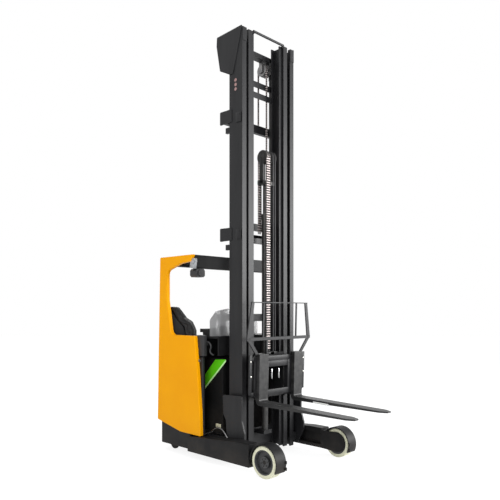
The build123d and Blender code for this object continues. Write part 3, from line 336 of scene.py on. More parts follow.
finish("polyurethane", (0.60, 0.60, 0.43), (0.66, 0.65, 0.50), rough=0.48, specular=0.4,
       cloud_scale=9, grain=260, bump=0.06, edge=2.5 * MM)
finish("drive_tyre", (0.012, 0.012, 0.012), (0.03, 0.028, 0.026), rough=0.75, specular=0.2,
       cloud_scale=14, grain=240, bump=0.3)
finish("floor_rubber", (0.012, 0.012, 0.013), (0.022, 0.022, 0.022), rough=0.8, specular=0.2,
       cloud_scale=6, grain=300, bump=0.35)
black_plastic = finish("black_plastic", (0.006, 0.006, 0.0065), (0.010, 0.010, 0.0105), rough=0.55,
                       specular=0.18, cloud_scale=7, grain=1100, bump=0.22)
finish("lamp_body", (0.012, 0.012, 0.013), (0.02, 0.02, 0.021), rough=0.4, specular=0.4,
       cloud_scale=9, grain=900, bump=0.1)
seat_cloth = finish("seat_cloth", (0.007, 0.007, 0.0075), (0.012, 0.012, 0.0125), rough=0.5, specular=0.22,
                    cloud_scale=12, grain=520, bump=0.45, edge=0)
bolt_zinc = finish("bolt_zinc", (0.42, 0.41, 0.38), (0.55, 0.54, 0.50), rough=0.34, metallic=0.9,
                   cloud_scale=60, grain=900, bump=0.05, edge=0)
hose_rubber = finish("hose_rubber", (0.010, 0.010, 0.011), (0.018, 0.018, 0.019), rough=0.5, specular=0.35,
                     cloud_scale=20, grain=700, bump=0.15, edge=0)
green_stripe = finish("green_stripe", (0.08, 0.44, 0.006), (0.09, 0.48, 0.008), rough=0.4, specular=0.1,
                      cloud_scale=8, grain=600, bump=0.02, edge=0)
pale_green = finish("pale_green", (0.42, 0.72, 0.28), (0.46, 0.76, 0.32), rough=0.4, specular=0.4,
                    cloud_scale=8, grain=600, bump=0.02, edge=0)
blank_label = finish("blank_label", (0.62, 0.62, 0.60), (0.70, 0.70, 0.68), rough=0.5, specular=0.3,
                     cloud_scale=12, grain=800, bump=0.05, edge=0)
disc_mark = finish("disc_mark", (0.30, 0.17, 0.16), (0.36, 0.22, 0.21), rough=0.45, specular=0.3,
                  cloud_scale=30, grain=800, bump=0.03, edge=0)
tag_cream = finish("tag_cream", (0.55, 0.52, 0.36), (0.62, 0.59, 0.43), rough=0.5, specular=0.3,
                   cloud_scale=30, grain=800, bump=0.05, edge=0)

# %% [markdown]
# The screen is smoke tinted polycarbonate. Half of it scatters light, and the other half lets it through
# with a tint at each face, so what stands behind it shows only faintly.

# %% Clear finishes
smoke_glass = finish("smoke_glass", (0.38, 0.38, 0.385), (0.40, 0.40, 0.402), rough=0.12, specular=0.1,
                     cloud_scale=2, grain=200, bump=0.004, rough_spread=0.02, edge=0)
screen_shader = smoke_glass.node_tree.nodes["Principled BSDF"]
screen_shader.inputs["Transmission Weight"].default_value = 0.5
screen_shader.inputs["IOR"].default_value = 1.45
lens_glass = finish("lens_glass", (0.16, 0.165, 0.17), (0.42, 0.43, 0.44), rough=0.12, specular=0.5,
                    cloud_scale=45, grain=400, bump=0.15, rough_spread=0.03, edge=0)

# %% Give each solid the finish of its slot
for part in frame["record"]["subparts"]:
    mesh = NODES[part["node"]].data
    mesh.materials.clear()
    mesh.materials.append(FINISHES[part["material_slot"]])

# %% [markdown]
# ## Camera, floor and light
# The camera stands level at the front right, and its picture is shifted up the mast. The floor and the
# world show as white to the camera, while the shadow under the truck stays.

# %% Camera
IMAGE = 500
FOCAL_PX = 571.42
CENTRE_PX = (235.487, 310.258)
CAMERA_AT = (4.093, -4.514, 1.569)
CAMERA_YAW = math.radians(45.7363)
SENSOR = 36.0
camera_data = bpy.data.cameras.new("camera")
camera = bpy.data.objects.new("camera", camera_data)
bpy.context.scene.collection.objects.link(camera)
camera_data.sensor_width = SENSOR
camera_data.lens = FOCAL_PX * SENSOR / IMAGE
camera_data.shift_x = (IMAGE / 2 - CENTRE_PX[0]) / IMAGE
camera_data.shift_y = (CENTRE_PX[1] - IMAGE / 2) / IMAGE
camera_data.clip_end = 200
camera.location = CAMERA_AT
camera.rotation_euler = (math.pi / 2, 0, CAMERA_YAW)
bpy.context.scene.camera = camera

# %% Floor and world
def white_to_camera(tree, dull, share):
    """Mix a shader with plain white for camera, glossy and transmission rays."""
    path = tree.nodes.new("ShaderNodeLightPath")
    either = tree.nodes.new("ShaderNodeMath")
    either.operation = "MAXIMUM"
    both = tree.nodes.new("ShaderNodeMath")
    both.operation = "MAXIMUM"
    tree.links.new(path.outputs["Is Camera Ray"], either.inputs[0])
    tree.links.new(path.outputs["Is Glossy Ray"], either.inputs[1])
    tree.links.new(either.outputs[0], both.inputs[0])
    tree.links.new(path.outputs["Is Transmission Ray"], both.inputs[1])
    amount = tree.nodes.new("ShaderNodeMath")
    amount.operation = "MULTIPLY"
    amount.inputs[1].default_value = share
    tree.links.new(both.outputs[0], amount.inputs[0])
    mix = tree.nodes.new("ShaderNodeMixShader")
    tree.links.new(amount.outputs[0], mix.inputs[0])
    tree.links.new(dull, mix.inputs[1])
    return mix


FLOOR_RADIUS = 30
FLOOR_GREY = 0.86
FLOOR_GLOW, FLOOR_GLOW_SHARE = 1.2, 0.72
SKY_COLOUR, SKY_STRENGTH = (0.95, 0.97, 1.0, 1), 0.62
WHITE = (1, 1, 1, 1)

deselect()
bpy.ops.mesh.primitive_circle_add(vertices=64, radius=FLOOR_RADIUS, fill_type="NGON")
floor = bpy.context.object
floor.name = "floor"
floor_paint = bpy.data.materials.new("floor_paint")
floor_paint.use_nodes = True
tree = floor_paint.node_tree
floor_shader = tree.nodes["Principled BSDF"]
floor_shader.inputs["Base Color"].default_value = (FLOOR_GREY, FLOOR_GREY, FLOOR_GREY, 1)
floor_shader.inputs["Roughness"].default_value = 0.9
floor_shader.inputs["Specular IOR Level"].default_value = 0.1
glow = tree.nodes.new("ShaderNodeEmission")
glow.inputs["Strength"].default_value = FLOOR_GLOW
floor_mix = white_to_camera(tree, floor_shader.outputs[0], FLOOR_GLOW_SHARE)
tree.links.new(glow.outputs[0], floor_mix.inputs[2])
tree.links.new(floor_mix.outputs[0], tree.nodes["Material Output"].inputs["Surface"])
floor.data.materials.append(floor_paint)
floor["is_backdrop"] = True

world = bpy.data.worlds.new("studio")
bpy.context.scene.world = world
world.use_nodes = True
tree = world.node_tree
sky = tree.nodes["Background"]
sky.inputs["Color"].default_value = SKY_COLOUR
sky.inputs["Strength"].default_value = SKY_STRENGTH
bright = tree.nodes.new("ShaderNodeBackground")
bright.inputs["Color"].default_value = WHITE
world_mix = white_to_camera(tree, sky.outputs[0], 1.0)
tree.links.new(bright.outputs[0], world_mix.inputs[2])
tree.links.new(world_mix.outputs[0], tree.nodes["World Output"].inputs["Surface"])


# %% Soft lamps
def lamp(name, at, towards, power, size):
    """A square area light at a place, shining towards a point."""
    data = bpy.data.lights.new(name, "AREA")
    data.energy = power
    data.size = size
    o = bpy.data.objects.new(name, data)
    bpy.context.scene.collection.objects.link(o)
    o.location = at
    o.rotation_euler = (Vector(towards) - Vector(at)).to_track_quat("-Z", "Y").to_euler()
    return o


# name, place, point it shines at, power in watts, width in metres
LAMPS = [
    ("key", (7.5, -1.5, 6.0), (0, 0, 2.0), 420, 4.0),
    ("fill", (3.0, -8.5, 5.0), (-0.6, 0, 1.4), 300, 5.0),
    ("sheen", (6.0, 6.0, 3.2), (0, 0, 2.2), 900, 4.5),
    ("back", (-6.0, 5.0, 6.0), (0, 0, 1.8), 220, 4.0),
]
for row in LAMPS:
    lamp(*row)
bpy.context.scene.view_settings.view_transform = "Standard"

# %% [markdown]
# ## Seat
# The driver's seat is a moulded foam cushion and a high backrest, both in a black cover. A block would look
# hard, so each pad is a slightly smaller form that cloth pressure swells, and its seams are pressed in after.

# %% Pads swollen by cloth pressure
SEAT_AT = Vector((-0.89, -0.155, 0))
SEAT_TURN = math.radians(-44)
seat_place = Matrix.Translation(SEAT_AT) @ Matrix.Rotation(SEAT_TURN, 4, "Z")
VOXEL = 6 * MM
CLOTH_PRESSURE = 4
CLOTH_FRAMES = 20


def swell(o, cap):
    """Remesh a pad and let cloth pressure round it, then hold each point within a cap of its start."""
    pick(o)
    o.data.remesh_voxel_size = VOXEL
    bpy.ops.object.voxel_remesh()
    start = [v.co.copy() for v in o.data.vertices]
    cloth = o.modifiers.new("cloth", "CLOTH")
    cloth.settings.use_pressure = True
    cloth.settings.uniform_pressure_force = CLOTH_PRESSURE
    cloth.settings.effector_weights.gravity = 0
    for step in range(1, CLOTH_FRAMES + 1):
        bpy.context.scene.frame_set(step)
    pick(o)
    bpy.ops.object.modifier_apply(modifier=cloth.name)
    bpy.context.scene.frame_set(1)
    for v, was in zip(o.data.vertices, start):
        moved = v.co - was
        if moved.length > cap:
            v.co = was + moved.normalized() * cap
    return o


def seam(o, pull, amount):
    """Press points inwards along their normals by amount times pull(point)."""
    normals = [v.normal.copy() for v in o.data.vertices]
    for v, n in zip(o.data.vertices, normals):
        v.co -= n * amount * pull(v.co)
    o.data.update()


def groove(distance, width):
    """1 on a line, falling to 0 at a width from it."""
    return math.exp(-((distance / width) ** 2))


CUSHION_LOW, CUSHION_HIGH = (-0.212, -0.178, 0.812), (0.212, 0.198, 0.886)
CUSHION_TOP_Z = 0.85        # above it lies the sat-on face
SIDE_ROLL_X = 0.12          # where the side rolls begin
SIDE_ROLL_RISE, HOLLOW = 0.012, 0.010
TOP_SEAM_X, SIDE_SEAM_Z = 0.135, 0.842

cushion = swell(box(CUSHION_LOW, CUSHION_HIGH, 0.03), 0.014)
for v in cushion.data.vertices:
    side = max(0.0, abs(v.co.x) - SIDE_ROLL_X) / 0.1
    if v.co.z > CUSHION_TOP_Z:
        v.co.z += SIDE_ROLL_RISE * min(side, 1.0) - HOLLOW * math.exp(-(v.co.x / SIDE_ROLL_X) ** 2)
seam(cushion, lambda p: groove(abs(p.x) - TOP_SEAM_X, 0.006) * (p.z > CUSHION_TOP_Z), 0.010)
seam(cushion, lambda p: groove(p.z - SIDE_SEAM_Z, 0.005), 0.005)
placed(cushion, seat_place)
finish_piece(cushion, "seat_cushion_pad", seat_cloth, "chassis", angle=80)
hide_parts("seat_cushion")


# %% Backrest with its shell and spine
def prism(name, outline, half_width):
    """A closed form from its side outline (y, z), across both sides of the middle."""
    count = len(outline)
    verts = [(x, y, z) for x in (-half_width, half_width) for y, z in outline]
    rings = [tuple(range(count)), tuple(range(2 * count - 1, count - 1, -1))]
    rings += [(k, k + count, (k + 1) % count + count, (k + 1) % count) for k in range(count)]
    return outward(from_points(name, verts, rings))


REAR_WALL_X = -1.165        # the seat's back stays this side of the rear cover


def clear_of_rear(o):
    """Flatten what would reach into the rear cover."""
    for v in o.data.vertices:
        v.co.x = max(v.co.x, REAR_WALL_X)
    o.data.update()
    return o


BACK_WIDTHS = [(0.97, 0.19), (1.30, 0.205), (1.45, 0.17), (1.62, 0.10)]  # height, half width


def back_half_width(z):
    """Half width of the backrest at a height."""
    for (z0, w0), (z1, w1) in zip(BACK_WIDTHS, BACK_WIDTHS[1:]):
        if z <= z1:
            return w0 + (w1 - w0) * (max(z, z0) - z0) / (z1 - z0)
    return BACK_WIDTHS[-1][1]


FRONT_LINE = [(-0.135, 0.97), (-0.112, 1.10), (-0.112, 1.33), (-0.15, 1.43), (-0.222, 1.485), (-0.318, 1.606)]
BACK_LINE = [(-0.395, 1.606), (-0.292, 1.455), (-0.222, 1.38), (-0.20, 1.28), (-0.20, 0.97)]
BLOCK_HALF = 0.2            # half width of the form before it takes BACK_WIDTHS
WING_X = 0.13               # the side wings begin here
WING_DEPTH = 0.035          # the middle lies this much behind them
SEAM_HALF = 0.12            # cross seams run this far to each side

back = rounded(prism("back", FRONT_LINE + BACK_LINE, BLOCK_HALF), 0.012, 2)
pick(back)
back.data.remesh_voxel_size = 8 * MM
bpy.ops.object.voxel_remesh()
for v in back.data.vertices:
    near_middle = 1 - min(abs(v.co.x) / WING_X, 1.0) ** 2
    v.co.y -= WING_DEPTH * near_middle
    v.co.x *= back_half_width(v.co.z) / BLOCK_HALF
back = swell(back, 0.012)
seam(back, lambda p: groove(abs(p.x) - back_half_width(p.z) * 0.64, 0.006), 0.009)
for seam_z, depth in ((1.30, 0.009), (1.12, 0.008)):
    seam(back, lambda p: groove(p.z - seam_z, 0.006) * (abs(p.x) < SEAM_HALF), depth)
clear_of_rear(placed(back, seat_place))
finish_piece(back, "seat_backrest_pad", seat_cloth, "chassis", angle=80)
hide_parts("seat_backrest")

SHELL_LINE = [(-0.205, 0.98), (-0.205, 1.28), (-0.232, 1.385), (-0.30, 1.46), (-0.395, 1.59), (-0.425, 1.60),
              (-0.435, 1.56), (-0.40, 1.40), (-0.345, 1.22), (-0.275, 1.06), (-0.24, 0.98)]
SHELL_HALF = 0.17
SHELL_INSET = 0.012         # the pad stands out past the shell by this
shell = prism("shell", SHELL_LINE, SHELL_HALF)
for v in shell.data.vertices:
    v.co.x *= (back_half_width(v.co.z) - SHELL_INSET) / SHELL_HALF
rounded(shell, 0.012, 3)
clear_of_rear(placed(shell, seat_place))
finish_piece(shell, "seat_shell", black_plastic, "chassis")
spine = box((-0.05, -0.24, 0.78), (0.05, -0.19, 0.99), 0.006)
bracket = box((-0.05, -0.24, 0.768), (0.05, -0.14, 0.80), 0.004)
spine = placed(join("seat_spine", [spine, bracket]), seat_place)
finish_piece(spine, "seat_spine", dark_steel, "chassis")
print("pads", len(cushion.data.polygons), len(back.data.polygons))

# %% [markdown]
# ## Steering wheel
# The grip is a smooth moulded ring on four spokes, with a spinner knob for one hand.

# %% Steering wheel
WHEEL_AT = Vector((-0.998, 0.33, 1.07))
WHEEL_LEAN = math.radians(-25)
WHEEL_RISE = 0.0753         # up along the lean, from WHEEL_AT
RING_R, RING_THICK = 0.115, 0.012
SPOKE_HALF, SPOKE_THICK = 0.013, 0.005
HUB_R, HUB_HEIGHT = 0.036, 0.03
KNOB_AT, KNOB_R, KNOB_HEIGHT = (0.1, 0.054, 0.026), 0.016, 0.04

wheel_place = Matrix.Translation(WHEEL_AT) @ Matrix.Rotation(WHEEL_LEAN, 4, "X")
wheel_place = wheel_place @ Matrix.Translation((0, 0, WHEEL_RISE))
deselect()
bpy.ops.mesh.primitive_torus_add(major_radius=RING_R, minor_radius=RING_THICK, major_segments=72,
                                 minor_segments=16)
wheel_parts = [freeze(bpy.context.object)]
for turn in range(4):
    spoke = box((0.02, -SPOKE_HALF, -SPOKE_THICK), (0.11, SPOKE_HALF, SPOKE_THICK), 0.003)
    wheel_parts.append(placed(spoke, Matrix.Rotation(turn * math.pi / 2, 4, "Z")))
wheel_parts.append(drum((0, 0, 0), HUB_R, HUB_HEIGHT, sides=40, round_off=0.005))
wheel_parts.append(drum(KNOB_AT, KNOB_R, KNOB_HEIGHT, sides=28, round_off=0.006))
steering = join("steering_grip", wheel_parts)
placed(steering, wheel_place)
finish_piece(steering, "steering_grip", black_plastic, "steering_wheel")
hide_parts("steering_wheel")

# %% [markdown]
# ## Leaf chains
# A lifting chain is a stack of leaf plates held by pins. The plates and the pin of one pitch are modelled
# with few faces, and repeated up the front fall, over the sheave and down the rear fall.

# %% One link, and a chain along a path
LINK_PITCH = 25.4 * MM


def chain_link(half_width, plates, half_depth):
    """Leaf plates of one pitch, about the origin, standing along Z."""
    parts = []
    pitch = 2 * half_width / plates
    for k in range(plates):
        y = -half_width + pitch * (k + 0.5)
        shift = (k % 2 - 0.5) * LINK_PITCH
        parts.append(box((-0.8 * half_depth, y - 0.38 * pitch, shift - 0.62 * LINK_PITCH),
                         (0.8 * half_depth, y + 0.38 * pitch, shift + 0.62 * LINK_PITCH)))
        rounded(parts[-1], 0.3 * half_depth, 1)
    return join("link", parts)


def chain_pin(half_width, half_depth):
    """The pin of one pitch, a plain round bar about the origin, along Y."""
    return drum((0, 0, 0), half_depth, 2 * half_width, "Y", sides=12)


def chain_pieces(name, half_width, plates, half_depth, spots, body):
    """Plates and pins of a chain as two pieces, since their finishes differ."""
    made = []
    for kind, link, steel in (("plates", chain_link(half_width, plates, half_depth), chain_plate),
                              ("pins", chain_pin(half_width, half_depth), chain_steel)):
        run = run_chain(link, spots)
        made.append(finish_piece(run, name + "_" + kind, steel, body, angle=40))
        bpy.data.objects.remove(link)
    return made


def run_chain(link, spots):
    """Copies of one link at (x, y, z, turn about Y), joined as one mesh."""
    verts, faces = [], []
    source = [v.co.copy() for v in link.data.vertices]
    rings = [tuple(p.vertices) for p in link.data.polygons]
    for x, y, z, turn in spots:
        place = Matrix.Translation((x, y, z)) @ Matrix.Rotation(turn, 4, "Y")
        first = len(verts)
        verts += [place @ c for c in source]
        faces += [tuple(first + i for i in ring) for ring in rings]
    return from_points("chain", verts, faces)


def fall(x, y, z_low, z_high):
    """Places of the links on one straight fall."""
    count = int((z_high - z_low - 0.7 * LINK_PITCH) / LINK_PITCH)
    return [(x, y, z_high - LINK_PITCH * k, 0.0) for k in range(count + 1)]


def wrap(x, y, z, radius):
    """Places of the links over a sheave, from its front side to its rear."""
    count = max(2, round(math.pi * radius / LINK_PITCH))
    return [(x + radius * math.cos(math.pi * k / count), y, z + radius * math.sin(math.pi * k / count),
             -math.pi * k / count) for k in range(1, count)]


# %% [markdown]
# The free lift head carries two wheels side by side: the wide chain runs over the right one, and two hoses
# over the left one. The piece stands for the plain head of the frame, round the same rod.

# %% Free lift head with its chain wheel and hose wheel
HEAD_X, HEAD_Z, HEAD_R = -0.058, 3.2, 0.055
ROD_X, ROD_R = -0.085, 0.022
ROD_FOOT, ROD_HEAD = 0.9, 2.93
CHAIN_Y, CHAIN_HALF_WIDTH = -0.045, 0.027
HOSE_Y, HOSE_WHEEL_HALF = 0.045, 0.031
YOKE_HALF, YOKE_WALL = 0.078, 0.01
YOKE_LOW, YOKE_HIGH = 2.909, 2.95
RIM_RISE, RIM_THICK = 0.016, 0.003

yoke_out = YOKE_HALF + YOKE_WALL
head_parts = [drum((ROD_X, 0, (ROD_FOOT + ROD_HEAD) / 2), ROD_R, ROD_HEAD - ROD_FOOT, "Z", 40)]
head_parts.append(box((ROD_X - 0.03, -yoke_out, YOKE_LOW), (HEAD_X + 0.03, yoke_out, YOKE_HIGH), 0.004))
for side in (-1, 1):
    y0, y1 = span(side, YOKE_HALF, yoke_out)
    head_parts.append(box((HEAD_X - 0.026, y0, 2.92), (HEAD_X + 0.026, y1, HEAD_Z + 0.03), 0.003))
for y, half in ((CHAIN_Y, CHAIN_HALF_WIDTH), (HOSE_Y, HOSE_WHEEL_HALF)):
    head_parts.append(drum((HEAD_X, y, HEAD_Z), HEAD_R, 2 * half, "Y", 64))
    for side in (-1, 1):
        rim_y = y + side * (half + RIM_THICK / 2)
        head_parts.append(drum((HEAD_X, rim_y, HEAD_Z), HEAD_R + RIM_RISE, RIM_THICK, "Y", 64, 0.001))
head_parts.append(drum((HEAD_X, 0, HEAD_Z), 0.016, 2 * YOKE_HALF + 0.036, "Y", 24, 0.002))
lift_head = join("lift_head", head_parts)
finish_piece(lift_head, "lift_head", dark_steel, "chain_head")
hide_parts("chain_head")

# %% Lift chain and hoses over the head
CHAIN_MID = HEAD_R + 0.0065
HOSE_R = 0.008
REAR_ANCHOR_Z = 2.38
HOSE_FOOT_Z = 1.14
chain_foot_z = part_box("lift_chain")[0].z
spots = fall(HEAD_X + CHAIN_MID, CHAIN_Y, chain_foot_z, HEAD_Z) + wrap(HEAD_X, CHAIN_Y, HEAD_Z, CHAIN_MID)
spots += fall(HEAD_X - CHAIN_MID, CHAIN_Y, REAR_ANCHOR_Z, HEAD_Z)
lift_plates, lift_pins = chain_pieces("lift_chain", CHAIN_HALF_WIDTH, 6, 0.0058, spots, "chain_head")
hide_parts("lift_chain")
print("lift chain links", len(spots))


def over_head(y, radius):
    """Points of a hose up the front, over the head wheel and down the rear."""
    arc = [(HEAD_X + radius * math.cos(a), y, HEAD_Z + radius * math.sin(a))
           for a in [math.pi * k / 8 for k in range(9)]]
    return [(HEAD_X + radius, y, HOSE_FOOT_Z)] + arc + [(HEAD_X - radius, y, REAR_ANCHOR_Z)]


hoses = [tube("hose", over_head(HOSE_Y + shift, HEAD_R + 0.009), HOSE_R, order=2)
         for shift in (-0.015, 0.015)]
finish_piece(join("lift_hoses", hoses), "lift_hoses", hose_rubber, "chain_head")
anchor = box((-0.014, -0.078, 1.097), (0.024, 0.078, 1.131), 0.003)
nuts = [drum((0.004, y, 1.137), 0.009, 0.016, "Z", 6, 0.001) for y in (-0.062, -0.028, 0.03, 0.06)]
finish_piece(join("chain_anchor", [anchor] + nuts), "chain_anchor", mast_paint, "carriage")

# %% Mast chains behind the middle stage
SHEAVE_X, SHEAVE_Z, SHEAVE_MID = -0.263, 4.240, 0.062
CHAIN_SIDE_Y = 0.15
REAR_END_Z = 3.634          # lower end of the rear falls
fall_foot_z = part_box("mast_chain_falls")[0].z
spots = []
for y in (-CHAIN_SIDE_Y, CHAIN_SIDE_Y):
    spots += fall(SHEAVE_X + SHEAVE_MID, y, fall_foot_z, SHEAVE_Z)
    spots += wrap(SHEAVE_X, y, SHEAVE_Z, SHEAVE_MID)
    spots += fall(SHEAVE_X - SHEAVE_MID, y, REAR_END_Z, SHEAVE_Z)
mast_plates, mast_pins = chain_pieces("mast_chain", 0.011, 3, 0.005, spots, "middle_stage")
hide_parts("mast_chains", "mast_chain_falls")

# %% [markdown]
# ## Bolts
# Hexagon heads on washers show where plates are held. One head is modelled and copied to each place.

# %% Bolt heads
def bolt_head(at, axis, radius):
    """Hexagon head on a washer, standing off a face along a signed axis."""
    sign = -1 if axis.startswith("-") else 1
    letter = axis[-1]
    unit = Vector([sign if c == letter else 0 for c in "XYZ"])
    base = Vector(at)
    washer = drum(base + unit * 0.12 * radius, 1.35 * radius, 0.26 * radius, letter, 20, 0.05 * radius)
    head = drum(base + unit * 0.65 * radius, radius, 0.9 * radius, letter, 6, 0.08 * radius)
    return [washer, head]


def bolts(name, places, axis, radius, body, material=bolt_zinc):
    """Bolt heads at several places of one face, as one piece."""
    parts = []
    for at in places:
        parts += bolt_head(at, axis, radius)
    return finish_piece(join(name, parts), name, material, body)


AXLE_X, AXLE_Z = 0.475, 0.152
HUB_BOLT_R, HUB_BOLTS = 0.036, 6
hub_face_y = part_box("load_hub_right")[0].y + 0.012
ring = [(AXLE_X + HUB_BOLT_R * math.cos(a), hub_face_y, AXLE_Z + HUB_BOLT_R * math.sin(a))
        for a in [math.radians(360 / HUB_BOLTS * k + 15) for k in range(HUB_BOLTS)]]
bolts("hub_bolts_right", ring, "-Y", 0.006, "load_wheel_right", dark_steel)
bolts("hub_bolts_left", [(x, -y, z) for x, y, z in ring], "Y", 0.006, "load_wheel_left", dark_steel)

# %% [markdown]
# ## Marks and labels
# The battery side has a green slanted stripe with a paler foot, and the mast head three small round marks.
# All of them are left blank.

# %% Green stripe on the battery side
STRIPE_T = 1.2 * MM
stripe_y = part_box("battery")[0].y - STRIPE_T / 2


def side_patch(name, corners, y, thickness, material, body):
    """A thin plate that lies along the truck's side, from its (x, z) corners."""
    points = [(u, y, v) for u, v in corners]
    o = from_points(name, points, [tuple(range(len(points)))])
    solid = o.modifiers.new("thickness", "SOLIDIFY")
    solid.thickness = thickness
    solid.offset = 0
    outward(apply_modifiers(o))
    rounded(o, 0.3 * thickness, 1)
    return finish_piece(o, name, material, body)


stripe = [(-0.576, 0.877), (-0.412, 1.045), (-0.249, 1.055), (-0.576, 0.748)]
side_patch("green_stripe", stripe, stripe_y, STRIPE_T, green_stripe, "chassis")
foot = [(-0.576, 0.746), (-0.252, 1.053), (-0.249, 1.032), (-0.576, 0.720)]
side_patch("green_stripe_foot", foot, stripe_y, STRIPE_T, pale_green, "chassis")

# %% Round marks near the top of the mast
MAST_SIDE_Y = -0.404
MARK_X, MARK_R, MARK_T = -0.123, 0.017, 0.0016
MARK_HEIGHTS = (3.942, 3.895, 3.849)
marks = [drum((MARK_X, MAST_SIDE_Y - MARK_T / 2, z), MARK_R, MARK_T, "Y", 28, 0.0004) for z in MARK_HEIGHTS]
finish_piece(join("round_marks", marks), "round_marks", disc_mark, "reach")

# %% [markdown]
# ## Small parts on the outside
# Bars, bolts, pins, a pipe, a handle and a lens are small, but they break up the dark plates.

# %% Fork carrier with an open window, and the guard of flat bars above it
DROOP = math.radians(1.6)
TILT_AT = Vector((0.063, 0, 0.7))
drooped = Matrix.Translation(TILT_AT) @ Matrix.Rotation(DROOP, 4, "Y") @ Matrix.Translation(-TILT_AT)
CARRIER_X = (0.0763, 0.1027)


def carrier_bar(y0, y1, z0, z1, x0=CARRIER_X[0], x1=CARRIER_X[1], edge=0.003):
    """One bar or plate of the carrier, before it is drooped."""
    return box((x0, y0, z0), (x1, y1, z1), edge)


CARRIER_HALF = 0.352
# near and far edge from the middle, low and high edge, and how far each face lies inside CARRIER_X
CARRIER_SIDE_BARS = [
    (0.15, 0.215, 0.748, 1.048, 0),
    (0.30, CARRIER_HALF, 0.748, 1.048, 0),
    (0.351, 0.402, 1.056, 1.092, 0.003),
    (0.351, 0.402, 0.70, 0.74, 0.003),
    (0.392, 0.432, 0.716, 1.118, 0.005),
]
carrier = [carrier_bar(-CARRIER_HALF, CARRIER_HALF, low, high) for low, high in ((1.046, 1.1), (0.69, 0.75))]
carrier.append(carrier_bar(-0.20, 0.20, 0.985, 1.048, 0.0795, 0.0995))
for side in (-1, 1):
    for near, far, low, high, thin in CARRIER_SIDE_BARS:
        y0, y1 = span(side, near, far)
        carrier.append(carrier_bar(y0, y1, low, high, CARRIER_X[0] + thin, CARRIER_X[1] - thin))
fork_carrier_plate = placed(join("carrier_frame", carrier), drooped)
finish_piece(fork_carrier_plate, "carrier_frame", mast_paint, "fork_carrier")
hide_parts("fork_carriage")


def cross_shape(corners, x, thickness):
    """A flat bar shape across the truck, from its (y, z) corners, before it is drooped."""
    o = prism("bar", corners, thickness / 2)
    placed(o, Matrix.Translation((x, 0, 0)))
    return rounded(o, 0.0012, 1)


GUARD_X, GUARD_T = 0.1112, 0.0136


def level_bar(half, low, high, thickness):
    """A level flat bar of the guard, from half to the right to half to the left."""
    return cross_shape([(-half, low), (half, low), (half, high), (-half, high)], GUARD_X, thickness)


WIDE, TOP_HALF, FOOT_HALF, INNER = 0.497, 0.436, 0.30, 0.25
MID_Z, TOP_Z, FOOT_Z = 1.28, 1.6545, 1.101
SLANT_W, FOOT_W, INNER_W = 0.05, 0.046, 0.016
UPPER_SLANT = [(TOP_HALF - 0.04, TOP_Z), (TOP_HALF, TOP_Z), (WIDE, MID_Z), (WIDE - SLANT_W, MID_Z)]
LOWER_SLANT = [(WIDE - SLANT_W, MID_Z), (WIDE, MID_Z), (FOOT_HALF + FOOT_W, FOOT_Z), (FOOT_HALF, FOOT_Z)]
INNER_BAR = [(INNER, MID_Z), (INNER + INNER_W, MID_Z), (INNER + INNER_W, TOP_Z), (INNER, TOP_Z)]
bars = [level_bar(WIDE, MID_Z - 0.016, MID_Z + 0.016, GUARD_T),
        level_bar(TOP_HALF, TOP_Z - 0.01, TOP_Z, GUARD_T + 0.008)]
for side in (-1, 1):
    for corners in (UPPER_SLANT, LOWER_SLANT, INNER_BAR):
        bars.append(cross_shape([(side * y, z) for y, z in corners], GUARD_X, GUARD_T))
    y0, y1 = span(side, 0.175, 0.195)
    bars.append(box((0.080, y0, FOOT_Z), (0.105, y1, MID_Z), 0.002))
    y0, y1 = span(side, FOOT_HALF, FOOT_HALF + FOOT_W)
    bars.append(box((0.080, y0, FOOT_Z), (0.118, y1, FOOT_Z + 0.024), 0.002))
backrest_bars = placed(join("backrest_bars", bars), drooped)
finish_piece(backrest_bars, "backrest_bars", mast_paint, "fork_carrier")
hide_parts("load_backrest")

# %% Bolts of the carrier, and painted highlights on its mid bar
BOLT_FACE_X, BOLT_Y, BOLT_HEIGHTS = 0.0985, 0.412, (1.05, 0.90)
side_bolts = [(BOLT_FACE_X, side * BOLT_Y, z) for side in (-1, 1) for z in BOLT_HEIGHTS]
bolts("carrier_bolts", side_bolts, "X", 0.0095, "fork_carrier")
# Painted highlights: small bright metal patches along the front of the guard's mid bar, placed where light
# catches the bar.
HIGHLIGHT_HALF = 0.03
HIGHLIGHT_YS = (-0.406, -0.289, -0.169, -0.046, 0.082, 0.196, 0.31, 0.42)
highlight_patches = [box((0.1175, y - HIGHLIGHT_HALF, 1.268), (0.1225, y + HIGHLIGHT_HALF, 1.290), 0.002) for y in HIGHLIGHT_YS]
finish_piece(join("rail_highlights", highlight_patches), "rail_highlights", roller_steel, "fork_carrier")

# %% Dark post with a grey cover at its top
post = [(-0.545, 1.078), (-0.463, 1.078), (-0.452, 0.245), (-0.498, 0.245)]
post_plate = side_patch("post_plate", post, -0.542, 0.038, mast_paint, "chassis")
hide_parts("side_post")
cover = box((-0.552, -0.566, 1.085), (-0.437, -0.518, 1.306), 0.008)
finish_piece(cover, "post_cover", grey_paint, "chassis")
bolts("post_bolts", [(-0.508, -0.5615, 1.035)], "-Y", 0.014, "chassis", roller_steel)

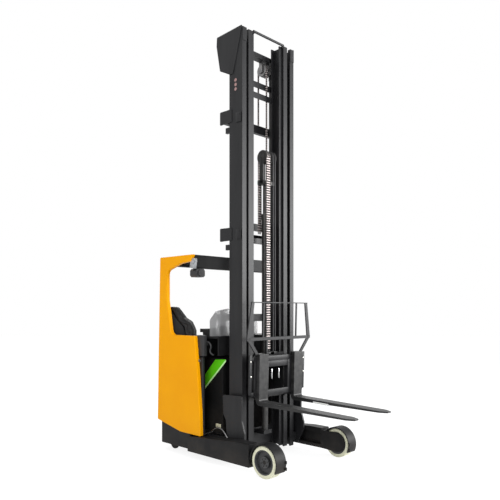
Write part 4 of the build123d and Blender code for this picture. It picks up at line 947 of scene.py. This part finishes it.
# %% Pins at the carriage, straps on the mast and a pipe low on its side
PIN_YS = (-0.041, 0.07)
pins = [drum((0.050, y, 0.90), 0.009, 0.10, "Z", 24, 0.001) for y in PIN_YS]
pins += [box((0.02, y - 0.012, 0.94), (0.056, y + 0.012, 0.952), 0.002) for y in PIN_YS]
finish_piece(join("tilt_pins", pins), "tilt_pins", chromed_rod, "carriage")
BRACKET_HEIGHTS = (3.55, 2.352)
straps = []
for z in BRACKET_HEIGHTS:
    straps.append(box((-0.112, -0.4145, z - 0.052), (-0.036, -0.4105, z + 0.05), 0.0015))
    straps.append(drum((-0.06, -0.4165, z + 0.03), 0.008, 0.005, "Y", 16, 0.001))
finish_piece(join("bracket_straps", straps), "bracket_straps", mast_paint, "reach")
PIPE_Y, PIPE_R = -0.4875, 0.0065
PIPE_LINE = [(-0.50, 0.25), (-0.42, 0.27), (-0.345, 0.335), (-0.285, 0.348), (-0.215, 0.33), (-0.16, 0.262)]
pipe = tube("pipe", [(x, PIPE_Y, z) for x, z in PIPE_LINE], PIPE_R)
ends = [drum((x, -0.4815, z), 0.011, 0.012, "Y", 6, 0.001) for x, z in (PIPE_LINE[0], PIPE_LINE[-1])]
finish_piece(join("reach_pipe", [pipe] + ends), "reach_pipe", roller_steel, "reach")

# %% Handle on the battery hood, a blank tag and a blank label on the left fork
HANDLE_LINE = [(-0.455, -0.498, 1.20), (-0.455, -0.522, 1.232), (-0.395, -0.526, 1.236),
               (-0.36, -0.524, 1.19), (-0.39, -0.522, 1.145), (-0.37, -0.52, 1.11), (-0.355, -0.498, 1.10)]
handle = tube("handle", HANDLE_LINE, 0.0085)
finish_piece(handle, "hood_handle", grey_paint, "chassis")
tag = box((-0.405, -0.4225, 0.332), (-0.325, -0.4195, 0.366), 0.001)
finish_piece(tag, "battery_tag", tag_cream, "chassis")
LABEL_LINE = [(0.404, 0.603), (0.404, 0.622), (0.60, 0.617), (0.60, 0.598)]
side_patch("fork_label", LABEL_LINE, 0.2055, 0.001, blank_label, "fork_carrier")

# %% Work lamp: silver reflector on the beam's corner, over the housing
LENS_AT = (-0.588, -0.578, 2.072)
LENS_TURN = math.radians(10)
lens = box((-0.045, -0.012, -0.055), (0.045, 0.012, 0.055), 0.006)
placed(lens, Matrix.Translation(LENS_AT) @ Matrix.Rotation(LENS_TURN, 4, "Y"))
finish_piece(lens, "lamp_lens", lens_glass, "chassis")
stem = box((-0.60, -0.576, 1.99), (-0.575, -0.55, 2.03), 0.003)
finish_piece(stem, "lamp_stem", black_plastic, "chassis")

# %% Sizes and the last line
low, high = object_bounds()
